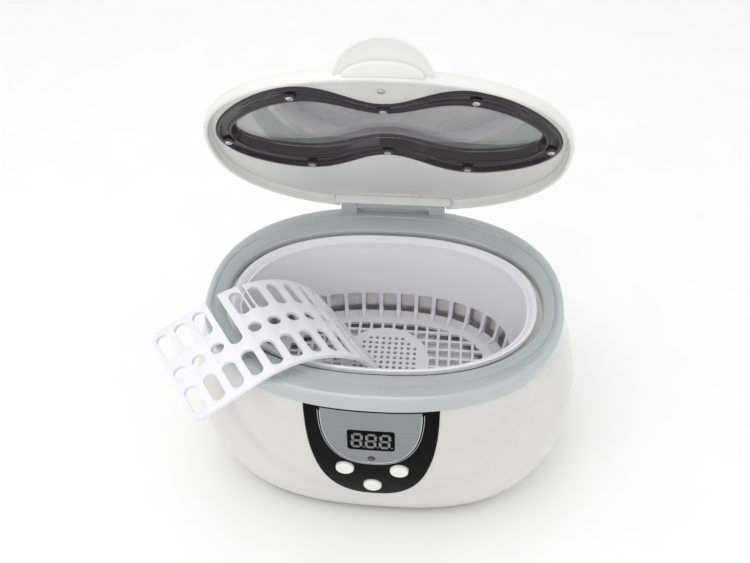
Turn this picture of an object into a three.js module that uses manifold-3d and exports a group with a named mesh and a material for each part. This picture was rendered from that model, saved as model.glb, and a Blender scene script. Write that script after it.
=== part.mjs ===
// Benchtop ultrasonic cleaner with an open hinged lid, a lift-out basket and a loose sieve insert.
// Millimetres. +Z is up, +X is to the right as the user faces the control panel, and the panel
// faces -Y. The origin is the centre of the base plate's underside.

import * as THREE from 'three';
import Module from 'manifold-3d';
import { mergeVertices } from 'three/addons/utils/BufferGeometryUtils.js';

const wasm = await Module();
wasm.setup();

// ---------------------------------------------------------------- driving dimensions

const FIT = 0.3; // clearance between neighbouring pieces
const ROUND = 16; // sides of a small round
const RIM_SIDES = 48; // sides of the large outlines

const WALL = 2.4; // housing wall
const TOP_N = 2.3; // squareness of the rim outline
const BASE_N = 2.7; // squareness of the foot outline

const BASE_A = 82; // half-length of the housing at the base
const BASE_B = 60; // half-width of the housing at the base
const BULGE_A = 104.4; // half-length of the housing at its widest
const BULGE_B = 74.5; // half-width of the housing at its widest
const BULGE_Z = 51; // height of the widest place
const SHOULDER_A = 93.4; // half-length of the housing at its top edge
const SHOULDER_B = 72.1; // half-width of the housing at its top edge
const SHOULDER_Z = 97.5; // height of the housing's top edge
const BOWL_Q = 1.7; // fullness of the lower bowl

const PLATE_T = 3; // base plate thickness
const FOOT_R = 6.5;
const FOOT_H = 2.4;
const FOOT_BELOW = 1.5; // how far a foot stands below the base plate
const FOOT_X = 58;
const FOOT_Y = 35;
const BASE_SCREW_X = 34;
const BASE_SCREW_Y = 45;
const SCREW_R = 1.5; // base screw shank
const SCREW_HEAD_R = 3;
const SCREW_HEAD_H = 2;
const SCREW_L = 12;
const BOSS_R = 4;

const RING_BAND = 1.3; // how far the ring's band stands out past the housing's top edge
const RING_CREST_Z = 106.4;
const RING_LIP = 2.2; // thickness of the ring's locating lip
const RING_LIP_H = 2;
const RING_LIP_A = 90.7; // outside of the locating lip
const RING_GROOVE_A = 89; // groove on the ring's top, half-length
const RING_GROOVE_B = 62.6;
const RING_BORE_Z = 103.2; // top of the ring at its opening
const RING_SKIRT_Z = 99.2; // underside of the ring at its opening
const RING_BORE_A = 83.5; // opening of the ring, half-length
const RING_BORE_B = 54; // opening of the ring, half-width

const TANK_A = 77.5; // inside of the tank at its mouth
const TANK_B = 49;
const TANK_TAPER = 5.5; // how much the tank narrows on each side down to its floor
const TANK_DEPTH = 52;
const TANK_WALL = 1;
const TANK_FLANGE = 7;

const BASKET_GAP = 2; // between the basket and the tank wall
const BASKET_T = 1.8;
const BASKET_RAISE = 6; // basket floor above the tank floor
const BASKET_LIP = 3.2; // rise of the basket lip above the tank flange
const BASKET_SLOTS = 30;
const SLOT_W = 6.4;
const SLOT_H = 14;
const GRID_PITCH = 13.2;
const GRID_BAR = 3.2;
const DISC_R = 24.5; // solid disc at the middle of the basket floor

const HINGE_Y = 70;
const HINGE_Z = 110.2;
const HINGE_W = 60; // over both cheeks
const CHEEK_W = 9;
const CHEEK_R = 4;
const KNUCKLE_R = 3.4;
const PIN_R = 1.5;
const LID_OPEN = 61; // degrees, as it stands open

const LID_A = 91.7;
const LID_B = 71;
const LID_SKIRT = 4;
const LID_RISE = 17; // rim to the top of the dome
const LID_WALL = 2.4;
const LINER_T = 2;
const LINER_UP = 4.6; // liner underside above the lid's rim
const WINDOW_Y = -17; // the window sits forward of the lid's middle
const WINDOW_BOW = 11; // and its ends bow back towards the hinge
const WINDOW_A = 86; // window flange
const WINDOW_B = 50;
const WINDOW_WAIST = 0.484;
const PANE_A = 76; // raised pane inside the flange
const PANE_B = 31;
const PANE_WAIST = 0.54;
const WAIST_SPREAD = 28;
const FLANGE_T = 1.7;
const PANE_UP = 3; // how far the pane stands above the flange
const PANE_T = 2;
const LID_SCREW_R = 1.1;
const LID_SCREW_HEAD_R = 2;
const LID_SCREW_HEAD_H = 1.1;
const LID_SCREW_L = 6;

const TAB_R = 22.3; // finger tab
const TAB_T = 2.4;
const TAB_UP = 1.5; // middle of the tab above the lid's rim
const TAB_TILT = 30; // degrees, its free edge turned up
const REAR_LIP_Y = 63; // the lid's lip in front of the hinge

const PANEL_W = 65; // control panel
const PANEL_BOTTOM = 30;
const PANEL_PROUD = 0.5;
const BUTTON_RX = 4.8;
const BUTTON_RZ = 4.6;
const BUTTON_PROUD = 2;
const BUTTON_TRAVEL = 0.8;
const BUTTON_ROW_Z = 54.5;
const BUTTON_ROW_X = 13.7;
const BUTTON_LOW_Z = 40.5;
const DISPLAY_W = 23.4;
const DISPLAY_H = 14.3;
const DISPLAY_Z = 77.2;

const BOARD_T = 1.6;
const PIEZO_R = 20;
const PIEZO_H = 6;

const INSERT_T = 2;
const INSERT_LEFT = 71.7; // from the middle of the bend to the outer end
const INSERT_RIGHT = 66; // from the middle of the bend to the end on the basket floor
const INSERT_W = 63;
const INSERT_R = 54.2; // bend radius
const INSERT_BEND = 79; // degrees

// ---------------------------------------------------------------- helpers

/** A manifold solid from a closed three.js geometry. */
function solid(geometry) {
  let g = geometry.clone();
  g.deleteAttribute('normal');
  g.deleteAttribute('uv');
  g = mergeVertices(g, 1e-4);
  const mesh = new wasm.Mesh({
    numProp: 3,
    vertProperties: new Float32Array(g.attributes.position.array),
    triVerts: new Uint32Array(g.index.array),
  });
  return new wasm.Manifold(mesh);
}

/** A three.js geometry from a manifold solid. */
function geometryOf(manifold) {
  const mesh = manifold.getMesh();
  const g = new THREE.BufferGeometry();
  g.setAttribute('position', new THREE.BufferAttribute(new Float32Array(mesh.vertProperties), 3));
  g.setIndex(new THREE.BufferAttribute(new Uint32Array(mesh.triVerts), 1));
  return g;
}

const fuse = (...parts) => parts.reduce((sum, part) => sum.add(part));
const cut = (body, ...tools) => tools.reduce((rest, tool) => rest.subtract(tool), body);

const box = (w, d, h, x, y, z) => solid(new THREE.BoxGeometry(w, d, h).translate(x, y, z));

/** An upright cylinder whose lower end is at z. */
function post(r, h, x, y, z, sides = ROUND) {
  const g = new THREE.CylinderGeometry(r, r, h, sides);
  return solid(g.rotateX(Math.PI / 2).translate(x, y, z + h / 2));
}

/** A cylinder along X, centred on x. */
function rodX(r, length, x, y, z, sides = ROUND) {
  return solid(new THREE.CylinderGeometry(r, r, length, sides).rotateZ(Math.PI / 2).translate(x, y, z));
}

/** A cylinder along Y, from y0 to y1, with half-axes rx and rz. */
function rodY(rx, rz, y0, y1, x, z, sides = ROUND) {
  const g = new THREE.CylinderGeometry(1, 1, y1 - y0, sides).scale(rx, 1, rz);
  return solid(g.translate(x, (y0 + y1) / 2, z));
}

/** The power curve that makes a squared ellipse from a cosine or sine. */
const squared = (c, n) => Math.sign(c) * Math.abs(c) ** (2 / n);

/** Points of a squared ellipse with half-axes a and b. */
function oval(a, b, n, sides = RIM_SIDES) {
  const points = [];
  for (let i = 0; i < sides; i++) {
    const t = (2 * Math.PI * i) / sides;
    points.push(new THREE.Vector2(a * squared(Math.cos(t), n), b * squared(Math.sin(t), n)));
  }
  return points;
}

/** Where the window's middle line runs at x. */
const windowMiddle = (x) => WINDOW_Y + WINDOW_BOW * (x / WINDOW_A) ** 2;

/** Points of the window's eyeglass outline, an ellipse drawn in at its middle. */
function eyeglass(a, b, waist, sides = RIM_SIDES) {
  const points = [];
  for (let i = 0; i < sides; i++) {
    const t = (2 * Math.PI * i) / sides;
    const x = a * Math.cos(t);
    const pinch = 1 - waist * Math.exp(-((x / WAIST_SPREAD) ** 2));
    points.push(new THREE.Vector2(x, windowMiddle(x) + b * Math.sin(t) * pinch));
  }
  return points;
}

/** An upright solid with a plain outline, from z0 to z1. */
function slab(points, z0, z1) {
  const shape = new THREE.Shape(points);
  const g = new THREE.ExtrudeGeometry(shape, { depth: z1 - z0, bevelEnabled: false, steps: 1 });
  return solid(g.translate(0, 0, z0));
}

/** A solid skinned over levels [a, b, z] from the bottom up, each a squared ellipse. */
function skinned(levels, sides = RIM_SIDES) {
  const position = [];
  const index = [];
  for (const [a, b, z, n = TOP_N] of levels) {
    for (const p of oval(a, b, n, sides)) position.push(p.x, p.y, z);
  }
  for (let k = 0; k + 1 < levels.length; k++) {
    for (let i = 0; i < sides; i++) {
      const p = k * sides + i;
      const q = k * sides + ((i + 1) % sides);
      index.push(p, q, q + sides, p, q + sides, p + sides);
    }
  }
  for (const k of [0, levels.length - 1]) {
    const centre = position.length / 3;
    position.push(0, 0, levels[k][2]);
    for (let i = 0; i < sides; i++) {
      const p = k * sides + i;
      const q = k * sides + ((i + 1) % sides);
      index.push(...(k ? [centre, p, q] : [centre, q, p]));
    }
  }
  const g = new THREE.BufferGeometry();
  g.setAttribute('position', new THREE.Float32BufferAttribute(position, 3));
  g.setIndex(index);
  return solid(g);
}

const parts = new THREE.Group();
const lid = new THREE.Group();

/** Adds one named mesh to the part or to the open lid. */
function piece(name, manifold, [color, roughness, metalness], parent = parts) {
  const material = new THREE.MeshStandardMaterial({ color, roughness, metalness });
  const mesh = new THREE.Mesh(geometryOf(manifold), material);
  mesh.name = name;
  parent.add(mesh);
}

// colour, roughness, metalness
const WHITE = [0xe9e8e6, 0.25, 0];
const SAGE = [0x9aa9a6, 0.35, 0];
const DARK_BASE = [0x2c2d2e, 0.6, 0];
const RUBBER = [0x1c1c1c, 0.9, 0];
const STEEL = [0xb9bcbe, 0.25, 1];
const GLOSS_BLACK = [0x0b0b0c, 0.12, 0];
const SILVER = [0x8b8f93, 0.35, 0.6];
const SMOKE = [0x4b464a, 0.1, 0];
const BOARD = [0x1f6b3a, 0.6, 0];
const CERAMIC = [0xcfc6b4, 0.6, 0];
const COPPER = [0xb87333, 0.4, 1];
const GREY_PLASTIC = [0x777a7c, 0.5, 0];

// ---------------------------------------------------------------- housing

/** The housing's outline [a, b, z, n] at height z, drawn in by inset. */
function bowl(z, inset = 0) {
  const n = THREE.MathUtils.lerp(BASE_N, TOP_N, z / SHOULDER_Z);
  if (z <= BULGE_Z) {
    const k = 1 - z / BULGE_Z;
    const full = (1 - k ** BOWL_Q) ** (1 / BOWL_Q);
    const a = THREE.MathUtils.lerp(BASE_A, BULGE_A, full);
    const b = THREE.MathUtils.lerp(BASE_B, BULGE_B, full);
    return [a - inset, b - inset, z, n];
  }
  const fall = Math.cos(((z - BULGE_Z) / (SHOULDER_Z - BULGE_Z)) * (Math.PI / 2));
  const a = THREE.MathUtils.lerp(SHOULDER_A, BULGE_A, fall);
  const b = THREE.MathUtils.lerp(SHOULDER_B, BULGE_B, fall);
  return [a - inset, b - inset, z, n];
}

const HOUSING_FOOT = 1; // the housing's lower edge above the plate's underside
const bowlHeights = [
  ...[0, 0.1, 0.26, 0.5, 0.78].map((k) => THREE.MathUtils.lerp(HOUSING_FOOT, BULGE_Z, k)),
  ...[0, 0.4, 0.75, 1].map((k) => THREE.MathUtils.lerp(BULGE_Z, SHOULDER_Z, k)),
];

const housingOuter = skinned(bowlHeights.map((z) => bowl(z)));
const innerHeights = [HOUSING_FOOT - 2, ...bowlHeights.slice(1, -1), SHOULDER_Z + 2];
const housingInner = skinned(
  innerHeights.map((z) => {
    const [a, b, , n] = bowl(THREE.MathUtils.clamp(z, HOUSING_FOOT, SHOULDER_Z), WALL);
    return [a, b, z, n];
  }),
);

// base plate, with its screw holes, foot pockets and board pillars
const screwPlaces = [];
const footPlaces = [];
for (const [side, sx] of [['left', -1], ['right', 1]]) {
  for (const [end, sy] of [['front', -1], ['rear', 1]]) {
    screwPlaces.push([`${end}_${side}`, sx * BASE_SCREW_X, sy * BASE_SCREW_Y]);
    footPlaces.push([`${end}_${side}`, sx * FOOT_X, sy * FOOT_Y]);
  }
}

const BOARD_W = 64;
const BOARD_D = 44;
const PILLAR_TOP = 9;
const BOARD_X = -4;
const pillarPlaces = [-1, 1].flatMap((sx) =>
  [-1, 1].map((sy) => [BOARD_X + sx * (BOARD_W / 2 - 4), sy * (BOARD_D / 2 - 4)]),
);

let [plateA, plateB, , plateN] = bowl(HOUSING_FOOT, WALL + FIT);
let basePlate = slab(oval(plateA, plateB, plateN), 0, PLATE_T);
for (const [x, y] of pillarPlaces) basePlate = fuse(basePlate, post(3, PILLAR_TOP - 1, x, y, 1));
for (const [, x, y] of screwPlaces) {
  basePlate = cut(
    basePlate,
    post(SCREW_R + FIT, PLATE_T + 2, x, y, -1),
    post(SCREW_HEAD_R + FIT, SCREW_HEAD_H + FIT + 1, x, y, -1),
  );
}
const POCKET = FOOT_H - FOOT_BELOW + FIT;
for (const [, x, y] of footPlaces) {
  basePlate = cut(basePlate, post(FOOT_R + FIT, POCKET + 1, x, y, -1));
}
piece('base_plate', basePlate, DARK_BASE);
for (const [place, x, y] of footPlaces) {
  piece(`foot_${place}`, post(FOOT_R, FOOT_H, x, y, -FOOT_BELOW), RUBBER);
}
for (const [place, x, y] of screwPlaces) {
  const screw = fuse(post(SCREW_HEAD_R, SCREW_HEAD_H, x, y, 0), post(SCREW_R, SCREW_L, x, y, 0));
  piece(`base_screw_${place}`, screw, STEEL);
}

// housing, with its shelf for the tank, screw bosses, panel opening and inlet opening
const TANK_TOP = RING_SKIRT_Z - FIT;
const FLANGE_UNDER = TANK_TOP - TANK_WALL;
const GASKET_T = 1.9;
const SHELF_TOP = FLANGE_UNDER - FIT - GASKET_T - FIT;
const SHELF_T = 2;
const SHELF_GAP = 3; // between the shelf's edge and the tank

const U_STEPS = 14;

/** A U outline in the front view, grown by extra: its arms end at level and can go on up by more. */
function uOutline(width, bottom, level, extra, more = 0) {
  const points = [];
  for (let i = 0; i <= U_STEPS; i++) {
    const t = Math.PI + (Math.PI * i) / U_STEPS;
    const x = (width / 2 + extra) * squared(Math.cos(t), 2.5);
    points.push(new THREE.Vector2(x, level + (level - bottom + extra) * squared(Math.sin(t), 2.5)));
  }
  if (more) points.push(new THREE.Vector2(points[U_STEPS].x, level + more), new THREE.Vector2(points[0].x, level + more));
  return points;
}

/** A solid with an outline in the front view, running from the front back to y. */
function frontPrism(points, y) {
  const shape = new THREE.Shape(points);
  const depth = y + BULGE_B + 20;
  const g = new THREE.ExtrudeGeometry(shape, { depth, bevelEnabled: false, steps: 1 });
  return solid(g.rotateX(Math.PI / 2).translate(0, y, 0));
}

/** The filled housing, drawn in by inset (negative grows it). */
function filled(inset) {
  return skinned(
    [HOUSING_FOOT - 2, ...bowlHeights.slice(1, -1), SHOULDER_Z + 2].map((z) => {
      const [a, b, , n] = bowl(THREE.MathUtils.clamp(z, HOUSING_FOOT, SHOULDER_Z), inset);
      return [a, b, z, n];
    }),
  );
}

const PANEL_BACK = -BULGE_B / 2;
const INLET_W = 24;
const INLET_H = 17;
const INLET_Z = 32;
const INLET_FRONT = bowl(INLET_Z)[1] + 1.2; // where its face stands
const INLET_BACK = INLET_FRONT - 20;

const shelfOuter = bowl(SHELF_TOP, WALL / 2);
const shelf = cut(
  slab(oval(shelfOuter[0], shelfOuter[1], TOP_N), SHELF_TOP - SHELF_T, SHELF_TOP),
  slab(oval(TANK_A + SHELF_GAP, TANK_B + SHELF_GAP, TOP_N), SHELF_TOP - SHELF_T - 1, SHELF_TOP + 1),
);
let housing = fuse(cut(housingOuter, housingInner), shelf);
const BOSS_FOOT = PLATE_T + FIT;
const BOSS_TOP = SCREW_L + 3;
for (const [, x, y] of screwPlaces) {
  const reach = BULGE_B - Math.abs(y);
  const rib = box(2, reach, BOSS_TOP - BOSS_FOOT, x, y + (Math.sign(y) * reach) / 2, (BOSS_TOP + BOSS_FOOT) / 2);
  const boss = fuse(post(BOSS_R, BOSS_TOP - BOSS_FOOT, x, y, BOSS_FOOT), rib).intersect(housingOuter);
  housing = cut(fuse(housing, boss), post(SCREW_R + FIT, SCREW_L + FIT, x, y, 0));
}
const panelSeat = cut(filled(-3), filled(WALL + FIT));
housing = cut(
  housing,
  panelSeat.intersect(frontPrism(uOutline(PANEL_W, PANEL_BOTTOM, SHOULDER_Z, FIT, 3), PANEL_BACK)),
  box(INLET_W + 2 * FIT, 40, INLET_H + 2 * FIT, 0, INLET_FRONT, INLET_Z),
);
piece('housing', housing, WHITE);

// ---------------------------------------------------------------- rim ring and hinge cheeks

const ringA = SHOULDER_A + RING_BAND - 0.7;
const ringB = SHOULDER_B + RING_BAND - 0.7;
const RING_FOOT = SHOULDER_Z + FIT;
let ring = skinned([
  [ringA, ringB, RING_FOOT],
  [ringA, ringB, RING_FOOT + 4.4],
  [ringA - 0.7, ringB - 0.6, RING_CREST_Z - 1.4],
  [ringA - 2, ringB - 1.7, RING_CREST_Z],
]);
const lipB = RING_LIP_A - SHOULDER_A + SHOULDER_B;
ring = fuse(ring, slab(oval(RING_LIP_A, lipB, TOP_N), RING_FOOT - RING_LIP_H, RING_FOOT + 1));
ring = cut(
  ring,
  slab(oval(RING_LIP_A - RING_LIP, lipB - RING_LIP, TOP_N), RING_FOOT - RING_LIP_H - 1, RING_SKIRT_Z),
  slab(oval(RING_BORE_A, RING_BORE_B, TOP_N), RING_FOOT - 1, RING_CREST_Z + 1),
  skinned([
    [RING_BORE_A, RING_BORE_B, RING_BORE_Z],
    [RING_GROOVE_A - 0.3, RING_GROOVE_B - 0.5, RING_CREST_Z - 1.2],
    [RING_GROOVE_A, RING_GROOVE_B, RING_CREST_Z + 1],
  ]),
);
const cheekX = (HINGE_W - CHEEK_W) / 2;
for (const sx of [-1, 1]) {
  const footZ = RING_FOOT + 4;
  ring = fuse(
    ring,
    rodX(CHEEK_R, CHEEK_W, sx * cheekX, HINGE_Y, HINGE_Z),
    box(CHEEK_W, 2 * CHEEK_R, HINGE_Z - footZ, sx * cheekX, HINGE_Y, (HINGE_Z + footZ) / 2),
  );
}
const knuckleL = HINGE_W - 2 * CHEEK_W - 2 * FIT;
const pocketFloor = HINGE_Z - KNUCKLE_R - 1;
ring = cut(
  ring,
  box(knuckleL + 2 * FIT, 18, 10, 0, HINGE_Y, pocketFloor + 5),
  rodX(PIN_R + FIT, HINGE_W + 2, 0, HINGE_Y, HINGE_Z),
);
piece('rim_ring', ring, SAGE);
piece('hinge_pin', rodX(PIN_R, HINGE_W - 1, 0, HINGE_Y, HINGE_Z, 16), STEEL);

// ---------------------------------------------------------------- tank

const tankFloor = TANK_TOP - TANK_DEPTH;
const floorA = TANK_A - TANK_TAPER;
const floorB = TANK_B - TANK_TAPER;
const CORNER = 6; // rounding between the tank's wall and floor
const tankLevels = (grow, top) => [
  [floorA - CORNER + grow, floorB - CORNER + grow, tankFloor - grow],
  [floorA - 1.8 + grow, floorB - 1.8 + grow, tankFloor + 1.6 - grow / 2],
  [floorA + grow, floorB + grow, tankFloor + CORNER],
  [TANK_A + grow, TANK_B + grow, TANK_TOP - 0.1],
  [TANK_A + grow, TANK_B + grow, top],
];
const tank = cut(
  fuse(
    skinned(tankLevels(TANK_WALL, TANK_TOP)),
    slab(oval(TANK_A + TANK_FLANGE, TANK_B + TANK_FLANGE, TOP_N), FLANGE_UNDER, TANK_TOP),
  ),
  skinned(tankLevels(0, TANK_TOP + 2)),
);
piece('tank', tank, STEEL);
const gasket = cut(
  slab(oval(TANK_A + TANK_FLANGE, TANK_B + TANK_FLANGE, TOP_N), SHELF_TOP + FIT, FLANGE_UNDER - FIT),
  slab(oval(TANK_A + SHELF_GAP, TANK_B + SHELF_GAP, TOP_N), SHELF_TOP - 1, FLANGE_UNDER + 1),
);
piece('tank_gasket', gasket, RUBBER);
const piezoTop = tankFloor - TANK_WALL - FIT;
piece('piezo_transducer', post(PIEZO_R, PIEZO_H, 0, 0, piezoTop - PIEZO_H), CERAMIC);

// ---------------------------------------------------------------- basket

/** Evenly spaced places along a closed outline: [x, y, direction of the outward normal]. */
function places(points, count) {
  const lengths = points.map((p, i) => p.distanceTo(points[(i + 1) % points.length]));
  const total = lengths.reduce((sum, l) => sum + l, 0);
  const out = [];
  for (let k = 0; k < count; k++) {
    let rest = ((k + 0.5) * total) / count;
    let i = 0;
    while (rest > lengths[i]) rest -= lengths[i++];
    const p = points[i];
    const q = points[(i + 1) % points.length];
    const at = p.clone().lerp(q, rest / lengths[i]);
    out.push([at.x, at.y, Math.atan2(q.y - p.y, q.x - p.x) - Math.PI / 2]);
  }
  return out;
}

const basketFloor = tankFloor + BASKET_RAISE;
const basketTopZ = TANK_TOP + FIT + BASKET_LIP;
const basketLevels = (grow, top) => [
  [floorA - CORNER + 1 + grow, floorB - CORNER + 1 + grow, basketFloor - grow],
  [floorA - 2 + grow, floorB - 2 + grow, basketFloor + 1.8 - grow / 2],
  [floorA - 0.4 + grow, floorB - 0.4 + grow, basketFloor + CORNER],
  [TANK_A + grow, TANK_B + grow, top],
].map(([a, b, z]) => [a - BASKET_GAP - BASKET_T, b - BASKET_GAP - BASKET_T, z]);
const lipA = TANK_A + BASKET_GAP + 0.8;
const lipBB = TANK_B + BASKET_GAP;
let basket = cut(
  fuse(
    skinned(basketLevels(BASKET_T, basketTopZ)),
    slab(oval(lipA, lipBB, TOP_N), TANK_TOP + FIT, basketTopZ),
  ),
  skinned(basketLevels(0, basketTopZ + 0.01)),
);
const slotLine = oval(floorA - BASKET_GAP, floorB - BASKET_GAP, TOP_N, 128);
for (const [x, y, turn] of places(slotLine, BASKET_SLOTS)) {
  const g = new THREE.BoxGeometry(12, SLOT_W, SLOT_H);
  const slotZ = basketFloor + 2 + SLOT_H / 2;
  basket = cut(basket, solid(g.rotateZ(turn).translate(x, y, slotZ)));
}
const gridA = floorA - CORNER - 9;
const gridB = floorB - CORNER - 6;
const hole = GRID_PITCH - GRID_BAR;
for (let i = -5; i <= 5; i++) {
  for (let j = -3; j <= 3; j++) {
    const x = i * GRID_PITCH;
    const y = j * GRID_PITCH * 0.75;
    const far = Math.hypot((Math.abs(x) + hole / 2) / gridA, (Math.abs(y) + hole / 3) / gridB);
    const near = Math.hypot(Math.max(Math.abs(x) - hole / 2, 0), Math.max(Math.abs(y) - hole / 3, 0));
    if (far > 1.05 || near < DISC_R) continue;
    basket = cut(basket, box(hole, hole * 0.7, 8, x, y, basketFloor));
  }
}
for (let k = 0; k < 8; k++) {
  const t = (k * Math.PI) / 4;
  basket = cut(basket, post(2.5, 8, 14 * Math.cos(t), 14 * Math.sin(t), basketFloor - 4, 8));
}
piece('basket', basket, WHITE);

// ---------------------------------------------------------------- control panel and its electronics

const panelSkin = cut(filled(-PANEL_PROUD), filled(WALL));
let panel = panelSkin.intersect(frontPrism(uOutline(PANEL_W, PANEL_BOTTOM, SHOULDER_Z, 0), PANEL_BACK));
const INLAY_W = 49;
const INLAY_BOTTOM = 60;
const INLAY_T = 1;
const inlayTop = SHOULDER_Z - 2;
const inlaySkin = cut(filled(-PANEL_PROUD), filled(INLAY_T - PANEL_PROUD));
const inlaySeat = cut(filled(-3), filled(INLAY_T - PANEL_PROUD + FIT));
const inlayPrism = (extra) => frontPrism(uOutline(INLAY_W, INLAY_BOTTOM, inlayTop, extra, extra), PANEL_BACK);
panel = cut(panel, inlaySeat.intersect(inlayPrism(FIT)));

const boardFront = -(SHOULDER_B - 10);
for (const x of [-22.5, 22.5]) {
  for (const z of [66, 88]) {
    const pillar = rodY(2.5, 2.5, -BULGE_B, boardFront - FIT, x, z, 12).intersect(filled(WALL / 2 + 0.6));
    panel = fuse(panel, pillar);
  }
}
const displayOpening = box(DISPLAY_W - 2, 30, DISPLAY_H - 2, 0, -BULGE_B, DISPLAY_Z);
panel = cut(panel, displayOpening);
const STATUS_Z = 63.5;
const LED_R = 1.6;
panel = cut(panel, rodY(LED_R + FIT, LED_R + FIT, -BULGE_B - 10, -BULGE_B + 10, 0, STATUS_Z, 16));

const buttons = [
  ['left', -BUTTON_ROW_X, BUTTON_ROW_Z],
  ['right', BUTTON_ROW_X, BUTTON_ROW_Z],
  ['centre', 0, BUTTON_LOW_Z],
];
for (const [, x, z] of buttons) {
  panel = cut(panel, rodY(BUTTON_RX + FIT, BUTTON_RZ + FIT, -BULGE_B - 10, -BULGE_B + 10, x, z));
}
piece('control_panel', panel, GLOSS_BLACK);

const windowHole = box(DISPLAY_W + 2 * FIT, 30, DISPLAY_H + 2 * FIT, 0, -BULGE_B, DISPLAY_Z);
const ledHole = rodY(LED_R + FIT, LED_R + FIT, -BULGE_B - 10, -BULGE_B + 10, 0, STATUS_Z, 16);
const inlay = cut(inlaySkin.intersect(inlayPrism(0)), windowHole, ledHole);
piece('panel_inlay', inlay, SILVER);
piece('display_window', inlaySkin.intersect(box(DISPLAY_W, 30, DISPLAY_H, 0, -BULGE_B, DISPLAY_Z)), SMOKE);

const BOARD_Z0 = 34;
const BOARD_Z1 = 92;
piece('display_board', box(52, BOARD_T, BOARD_Z1 - BOARD_Z0, 0, boardFront + BOARD_T / 2, (BOARD_Z0 + BOARD_Z1) / 2), BOARD);
const inside = -(BULGE_B - WALL); // the panel's inner face at its widest
const ledBack = boardFront - FIT;
const segments = box(DISPLAY_W - 2.6, ledBack - inside - 1.6, DISPLAY_H - 2.6, 0, (ledBack + inside + 1.6) / 2, DISPLAY_Z);
piece('led_display', segments, GREY_PLASTIC);
piece('status_led', rodY(LED_R, LED_R, -bowl(STATUS_Z)[1] - 0.2, ledBack, 0, STATUS_Z, 16), [0x7a2a22, 0.3, 0]);
const SWITCH_D = 3.4;
const PLUNGER = 2;
for (const [place, x, z] of buttons) {
  const switchFront = ledBack - SWITCH_D;
  const plungerFront = switchFront - PLUNGER;
  const tact = fuse(
    box(6, SWITCH_D, 6, x, ledBack - SWITCH_D / 2, z),
    rodY(1.6, 1.6, plungerFront, switchFront + 1, x, z, 12),
  );
  piece(`tact_switch_${place}`, tact, DARK_BASE);
  const surface = -bowl(z)[1];
  const collar = surface + WALL + 1.3;
  const cap = new THREE.LatheGeometry(
    [[0, 1.2], [0.4, 1.12], [0.75, 0.8], [0.93, 0.42], [1, 0], [1, -5], [0, -5]]
      .map(([r, h]) => new THREE.Vector2(r, h)).reverse(),
    ROUND,
  );
  cap.scale(BUTTON_RX, 1, BUTTON_RZ).rotateX(Math.PI);
  cap.translate(x, surface - BUTTON_PROUD + 1.2, z);
  const button = fuse(
    solid(cap),
    rodY(BUTTON_RX + 0.9, BUTTON_RZ + 0.9, collar, collar + 1, x, z),
    rodY(2, 2, collar, plungerFront - FIT - BUTTON_TRAVEL, x, z, 12),
  );
  piece(`button_${place}`, button, WHITE);
}

// ---------------------------------------------------------------- power electronics and inlet

const boardZ = PILLAR_TOP + FIT;
const onBoard = boardZ + BOARD_T + FIT;
piece('power_board', box(BOARD_W, BOARD_D, BOARD_T, BOARD_X, 0, boardZ + BOARD_T / 2), BOARD);
const core = box(22, 8, 18, BOARD_X + 18, 6, onBoard + 9);
piece('drive_transformer', fuse(core, box(14, 18, 12, BOARD_X + 18, 6, onBoard + 9)), COPPER);
let sink = box(26, 14, 3, BOARD_X - 14, 12, onBoard + 1.5);
for (let i = 0; i < 5; i++) sink = fuse(sink, box(1.5, 14, 15, BOARD_X - 26 + 6 * i, 12, onBoard + 7.5));
piece('heat_sink', sink, STEEL);
piece('capacitor', post(5, 16, BOARD_X - 22, -10, onBoard, 16), DARK_BASE);
piece('fuse', rodX(2.6, 20, BOARD_X + 2, -15, onBoard + 2.6, 12), CERAMIC);

const inletDepth = INLET_FRONT - INLET_BACK;
const PIN_GAP = 6.6; // between the inlet pins
const INLET_PIN_R = 1.2;
let inlet = box(INLET_W, inletDepth, INLET_H, 0, (INLET_FRONT + INLET_BACK) / 2, INLET_Z);
inlet = fuse(inlet, box(INLET_W + 4, 2, INLET_H - 1, 0, INLET_BACK + 1, INLET_Z));
inlet = cut(inlet, box(16, 26, 9, 0, INLET_FRONT, INLET_Z));
for (const sx of [-1, 1]) {
  const x = (sx * PIN_GAP) / 2;
  inlet = cut(inlet, rodY(INLET_PIN_R + FIT, INLET_PIN_R + FIT, INLET_BACK - 1, INLET_FRONT, x, INLET_Z, 12));
  const pin = rodY(INLET_PIN_R, INLET_PIN_R, INLET_BACK - 3, INLET_FRONT - 3, x, INLET_Z, 12);
  piece(`inlet_pin_${sx < 0 ? 'left' : 'right'}`, pin, STEEL);
}
piece('mains_inlet', inlet, DARK_BASE);

// ---------------------------------------------------------------- lid, drawn closed

const LID_SEAT = RING_CREST_Z + 0.6; // the lid's rim when closed
const DOME_P = 2; // fullness of the dome

/** The filled dome, drawn in by inset, with its open side at z0. */
function domeSolid(inset, z0) {
  const skirtTop = LID_SEAT + LID_SKIRT;
  const rise = LID_RISE - LID_SKIRT - inset;
  const levels = [[LID_A - inset, LID_B - inset, z0], [LID_A - inset, LID_B - inset, skirtTop]];
  for (const s of [0.96, 0.85, 0.66, 0.4]) {
    const z = skirtTop + rise * (1 - s ** DOME_P) ** (1 / DOME_P);
    levels.push([(LID_A - inset) * s, (LID_B - inset) * s, z]);
  }
  return skinned(levels);
}

/** Adds a piece of the lid, drawn closed, to the lid group that hangs on the hinge. */
const lidPiece = (name, manifold, look) =>
  piece(name, manifold.translate([0, -HINGE_Y, -HINGE_Z]), look, lid);

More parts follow.
